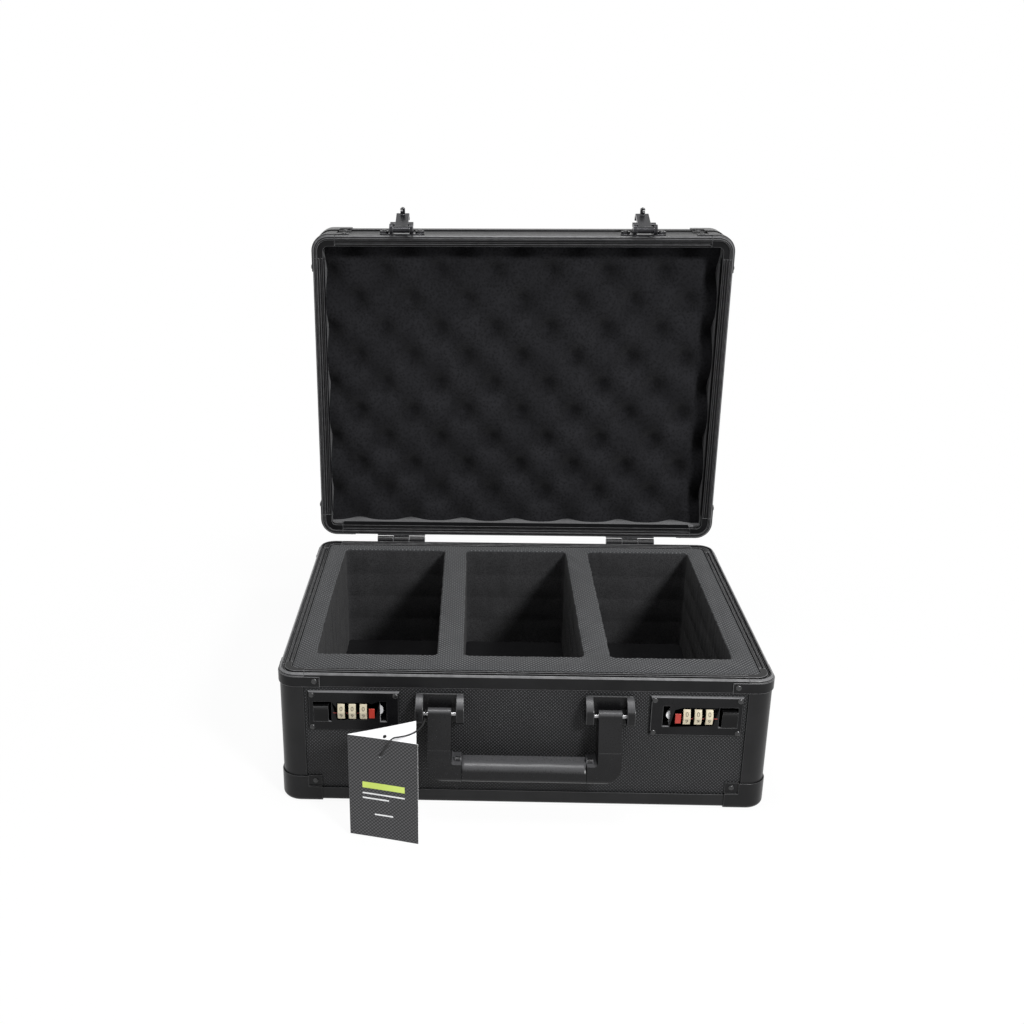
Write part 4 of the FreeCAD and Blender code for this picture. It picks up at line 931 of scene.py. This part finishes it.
def makeWheel(node):
    w = numberWheel
    low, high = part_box(node)
    middleX = (low[0] + high[0]) / 2
    bm = cadCopy(node)
    for vert in bm.verts:
        vert.co.x = middleX + (vert.co.x - middleX) * w["slim"]
    corners = [e for e in bm.edges if len(e.link_faces) == 2 and e.calc_face_angle() > w["cornerFrom"]]
    bmesh.ops.bevel(bm, geom=corners, offset=w["round"] * mm, segments=2, affect="EDGES", profile=0.5)
    reach = (w["radius"] * math.cos(math.pi / w["flats"]) + w["lift"]) * mm  # from the axle to a flat
    centre = casePoint(0, w["middleY"], w["height"])
    centre.x = middleX
    for k, digit in enumerate(digits):
        angle = 2 * math.pi * (k + 0.5) / w["flats"]
        out = Vector((0, -math.cos(angle), math.sin(angle)))
        up = Vector((0, math.sin(angle), math.cos(angle)))
        turn = Matrix((Vector((1, 0, 0)), up, out)).transposed()
        before = set(bm.faces)
        bm.from_mesh(digit)
        fresh = [face for face in bm.faces if face not in before]
        for vert in {v for face in fresh for v in face.verts}:
            vert.co = turn @ vert.co + centre + out * reach
        for face in fresh:
            face.material_index = 1
    addPiece("wheel_" + node, bm, ["dialIvory", "digitPrint"], node, sharp=w["sharp"])


for side in sideSign:
    for index in (1, 2, 3):
        makeWheel("lock_dial_%d_%s" % (index, side))
print("number wheels made")


# latch springs: open coils
latchSpring = {"turns": 6, "perTurn": 14, "wire": 0.3, "wireSides": 8, "draw": 2.6, "gap": 0.05}


def makeSpring(side, sign):
    s = latchSpring
    node = "latch_spring_" + side
    low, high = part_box(node)
    y, z = (low[1] + high[1]) / 2, (low[2] + high[2]) / 2
    thick, clear = s["wire"] * mm, (s["wire"] + s["gap"]) * mm
    radius = (high[2] - low[2]) / 2 - thick
    start, end = low[0] + clear, high[0] - clear
    around = [2 * math.pi * n / s["wireSides"] for n in range(s["wireSides"])]
    count = s["turns"] * s["perTurn"]
    loops = []
    for k in range(count + 1):
        angle = 2 * math.pi * k / s["perTurn"]
        out = Vector((0, math.cos(angle), math.sin(angle)))
        middle = Vector((start + (end - start) * k / count, y, z)) + out * radius
        loops.append([middle + out * thick * math.cos(t) + Vector((thick * math.sin(t), 0, 0)) for t in around])
    piece = addPiece("coil_" + node, lofted(loops), ["pinSteel"], node)
    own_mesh(piece)


for side, sign in sideSign.items():
    makeSpring(side, sign)
print("latch springs made")


# red index line let into each lock plate between the wheels
indexLine = {"height": 77.9, "thick": 0.35, "deep": 0.1, "proud": 0.04, "middleX": 128.0,
             "gaps": [(-12.2, -11.0), (-3.85, -2.5), (4.5, 5.85), (12.85, 15.6)]}


def makeIndexLine(side, sign):
    n = indexLine
    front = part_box("lock_plate_" + side)[0][1] - n["proud"] * mm
    bm = bmesh.new()
    for gap in n["gaps"]:
        x0, x1 = sorted(sign * (n["middleX"] + end) * mm for end in gap)
        addBlock(bm, (x0, front, (n["height"] - n["thick"] / 2) * mm),
                 (x1, front + n["deep"] * mm, (n["height"] + n["thick"] / 2) * mm))
    addPiece("indexLine_" + side, bm, ["indexRed"], "lock_plate_" + side, smooth=False, replaces=False)


for side, sign in sideSign.items():
    makeIndexLine(side, sign)
print("index lines made")


# hang tag folded like a small book, its covers a little curled
hangTag = {"spine": (-127.5, -185.4), "width": 52.0, "height": 83.0, "foot": 2.3, "card": 0.5, "frontTurn": -13.6,
           "backTurn": 23.4, "columns": 18, "rows": 20, "fold": 0.3, "foldTurns": (-60, 0, 60), "curl": 0.9,
           "curlFoot": 0.6, "frontCurl": 0.4, "backCurl": 0.5, "weld": 0.002, "sharp": 40.0, "holeSides": 20,
           "punch": 6.0, "holeRadius": 0.72, "holeAlong": 23.5, "holeHeight": 68.4,
           "backHoleRadius": 1.5, "backHoleAlong": 27.4, "backHoleHeight": 75.5}


def coverSpot(turn, along, out, height):
    angle = math.radians(turn)
    way = Vector((math.cos(angle), math.sin(angle)))
    left = Vector((-math.sin(angle), math.cos(angle)))
    spot = Vector(hangTag["spine"]) + way * along + left * out
    return casePoint(spot.x, spot.y, height + hangTag["foot"])


def curlAt(along, height):
    t = hangTag
    rise = t["curlFoot"] + (1.0 - t["curlFoot"]) * height / t["height"]
    return t["curl"] * math.sin(math.pi * along / t["width"]) * rise


def tagHole(turn, along, height, radius):  # round punch through one cover
    hole = bmesh.new()
    bmesh.ops.create_cone(hole, cap_ends=True, segments=hangTag["holeSides"], radius1=radius * mm,
                          radius2=radius * mm, depth=hangTag["punch"] * mm)
    way = coverSpot(turn, 0, 1, 0) - coverSpot(turn, 0, 0, 0)
    aim = way.normalized().to_track_quat("Z", "Y").to_matrix()
    middle = coverSpot(turn, along, 0, height)
    for vert in hole.verts:
        vert.co = aim @ vert.co + middle
    return hole


def tagLine(layer, height):  # points of the inner or outer skin from the front cover's edge round to the back's
    t = hangTag
    thick = t["card"] * layer
    stations = [t["width"] * i / t["columns"] for i in range(1, t["columns"] + 1)]
    line = [coverSpot(t["frontTurn"], along, curlAt(along, height) * t["frontCurl"] - thick, height)
            for along in reversed(stations)]
    if layer:
        for angle in t["foldTurns"]:
            turn = math.radians((t["frontTurn"] + t["backTurn"]) / 2 + 180 - angle)
            spot = Vector(t["spine"]) + Vector((math.cos(turn), math.sin(turn))) * thick
            line.append(casePoint(spot.x, spot.y, height + t["foot"]))
    else:
        line += [coverSpot(0, t["fold"], 0.0, height)] * len(t["foldTurns"])
    return line + [coverSpot(t["backTurn"], along, thick - curlAt(along, height) * t["backCurl"], height)
                   for along in stations]


def makeHangTag():
    t = hangTag
    rows = t["rows"]
    bm = bmesh.new()
    inner, outer = ([[bm.verts.new(p) for p in tagLine(layer, t["height"] * j / rows)] for j in range(rows + 1)]
                    for layer in (0, 1))
    count = len(inner[0])
    for j in range(rows):
        for i in range(count - 1):
            for layer, skin in enumerate((inner, outer)):
                corners = [skin[j][i], skin[j][i + 1], skin[j + 1][i + 1], skin[j + 1][i]]
                face = bm.faces.new(corners[::-1] if layer else corners)
                face.material_index = layer
    edge = ([(0, i) for i in range(count)] + [(j, count - 1) for j in range(1, rows + 1)]
            + [(rows, i) for i in range(count - 2, -1, -1)] + [(j, 0) for j in range(rows - 1, 0, -1)])
    for (j0, i0), (j1, i1) in zip(edge, edge[1:] + edge[:1]):
        bm.faces.new((inner[j0][i0], inner[j1][i1], outer[j1][i1], outer[j0][i0]))
    bmesh.ops.remove_doubles(bm, verts=bm.verts, dist=t["weld"] * mm)
    bmesh.ops.recalc_face_normals(bm, faces=bm.faces)
    mesh = cutMesh(bm, [tagHole(t["frontTurn"], t["holeAlong"], t["holeHeight"], t["holeRadius"]),
                        tagHole(t["backTurn"], t["backHoleAlong"], t["backHoleHeight"], t["backHoleRadius"])])
    addPiece("hangTag", mesh, ["tagInside", "tagCover"], "hang_tag", sharp=t["sharp"])


# plain printed bars on the front cover: finish, start and end along the cover, low and high
tagMarks = {"steps": 12, "lift": 0.06, "bars": [
    ("tagLime", 10.0, 42.0, 41.0, 46.0), ("tagPale", 10.0, 42.0, 36.0, 37.2), ("tagPale", 10.0, 30.0, 32.0, 33.2),
    ("tagPale", 19.0, 33.0, 19.0, 20.2)]}


def makeTagMarks():
    t, steps = hangTag, tagMarks["steps"]
    names = ["tagLime", "tagPale"]
    bm = bmesh.new()
    for name, start, end, low, high in tagMarks["bars"]:
        rows = []
        for height in (low, high):
            rows.append([])
            for k in range(steps + 1):
                along = start + (end - start) * k / steps
                out = curlAt(along, height) * t["frontCurl"] - t["card"] - tagMarks["lift"]
                rows[-1].append(bm.verts.new(coverSpot(t["frontTurn"], along, out, height)))
        for k in range(steps):
            face = bm.faces.new((rows[0][k], rows[0][k + 1], rows[1][k + 1], rows[1][k]))
            face.material_index = names.index(name)
    addPiece("tagPrint", bm, names, "hang_tag", replaces=False)


makeHangTag()
makeTagMarks()


# string that ties the tag to the left pin of the handle
tagString = {"radius": 0.6, "length": 0.0872, "roundSteps": 3, "alongSteps": 10, "points": [
    (-73.6, -149.5, 84.5), (-73.6, -146.8, 85.2), (-73.6, -144.7, 83.2), (-73.6, -145.2, 80.3), (-73.6, -148.4, 79.0),
    (-74.6, -153.5, 77.7), (-76.5, -160.5, 77.6), (-80.2, -170.5, 79.2), (-85.2, -180.5, 82.2), (-90.2, -187.3, 84.9),
    (-93.9, -191.2, 86.5), (-96.0, -193.4, 86.6), (-97.6, -194.6, 84.0), (-100.2, -194.0, 79.0),
    (-103.2, -193.1, 73.5), (-104.9, -192.4, 71.6), (-104.6, -190.2, 70.7)]}


def makeString():
    curve = bpy.data.curves.new("tagString", "CURVE")
    curve.dimensions = "3D"
    curve.bevel_depth = tagString["radius"] * mm
    curve.bevel_resolution = tagString["roundSteps"]
    curve.resolution_u = tagString["alongSteps"]
    curve.use_fill_caps = True
    spline = curve.splines.new("NURBS")
    spline.points.add(len(tagString["points"]) - 1)
    for point, spot in zip(spline.points, tagString["points"]):
        point.co = (*casePoint(*spot), 1.0)
    spline.order_u = 3
    spline.use_endpoint_u = True
    curve.materials.append(finishes["cordBlack"])
    piece = bpy.data.objects.new("tagString", curve)
    scene.collection.objects.link(piece)
    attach(piece, bodyOf["tag_cord"])
    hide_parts("tag_cord")
    tuple(casePoint(*tagString["points"][0]))


makeString()
print("tag and string made")


def finishNodes():  # CAD nodes that stay as they are get their finish
    for node, item in frame["nodes"].items():
        for slot in item.material_slots:
            slot.material = finishes[finishFor(node)]


finishNodes()
print("nodes finished:", len(frame["nodes"]))


# floor, world and lamps: name, place, size and power of each lamp
studio = {"sky": 0.2, "white": 1.0, "nearGlow": 0.94, "glowRange": (0.25, 0.62), "floorHalf": 4.0,
          "floorDrop": 0.0002, "floorTone": 0.9, "floorRoughness": 0.9, "aimHeight": 180, "lamps": [
              ("keyLamp", (1000, -1600, 1350), 0.38, 50.0), ("topLamp", (0, -120, 1650), 0.55, 12.0),
              ("leftLamp", (-1300, -500, 700), 1.0, 2.5)]}


def seenDirectly(tree):  # rays that show the background itself
    rays = tree.nodes.new("ShaderNodeLightPath").outputs
    share = calc(tree, "MAXIMUM", rays["Is Camera Ray"], rays["Is Glossy Ray"])
    return calc(tree, "MAXIMUM", share, rays["Is Transmission Ray"])


def makeWorld():
    world = bpy.data.worlds.new("studio")
    scene.world = world
    world.use_nodes = True
    tree = world.node_tree
    sky = tree.nodes["Background"]
    sky.inputs["Color"].default_value = (1.0, 1.0, 1.0, 1.0)
    wire(tree, ramp(tree, seenDirectly(tree), 0.0, 1.0, studio["sky"], studio["white"]), sky.inputs["Strength"])


def floorMaterial():  # white where it is seen, with the case's shadow near the middle
    material = bpy.data.materials.new("whiteFloor")
    material.use_nodes = True
    tree = material.node_tree
    shader = tree.nodes["Principled BSDF"]
    shader.inputs["Base Color"].default_value = (*[studio["floorTone"]] * 3, 1.0)
    shader.inputs["Roughness"].default_value = studio["floorRoughness"]
    glow = tree.nodes.new("ShaderNodeEmission")
    mix = tree.nodes.new("ShaderNodeMixShader")
    coords = tree.nodes.new("ShaderNodeTexCoord")
    away = tree.nodes.new("ShaderNodeVectorMath")
    away.operation = "LENGTH"
    wire(tree, coords.outputs["Object"], away.inputs[0])
    share = ramp(tree, away.outputs["Value"], *studio["glowRange"], studio["nearGlow"], 1.0)
    wire(tree, calc(tree, "MULTIPLY", seenDirectly(tree), share), mix.inputs[0])
    wire(tree, shader.outputs[0], mix.inputs[1])
    wire(tree, glow.outputs[0], mix.inputs[2])
    wire(tree, mix.outputs[0], tree.nodes["Material Output"].inputs["Surface"])
    return material


def makeFloor():
    half = studio["floorHalf"]
    mesh = bpy.data.meshes.new("studioFloor")
    mesh.from_pydata([(-half, -half, 0), (half, -half, 0), (half, half, 0), (-half, half, 0)], [], [(0, 1, 2, 3)])
    mesh.materials.append(floorMaterial())
    floor = bpy.data.objects.new("studioFloor", mesh)
    floor.location.z = -studio["floorDrop"]
    scene.collection.objects.link(floor)


def makeLamps():
    for name, spot, size, power in studio["lamps"]:
        data = bpy.data.lights.new(name, "AREA")
        data.shape = "DISK"
        data.size = size
        data.energy = power
        lamp = bpy.data.objects.new(name, data)
        scene.collection.objects.link(lamp)
        lamp.location = casePoint(*spot)
        aim = casePoint(0, 0, studio["aimHeight"]) - lamp.location
        lamp.rotation_euler = aim.to_track_quat("-Z", "Y").to_euler()


makeWorld()
makeFloor()
makeLamps()
print("studio made")
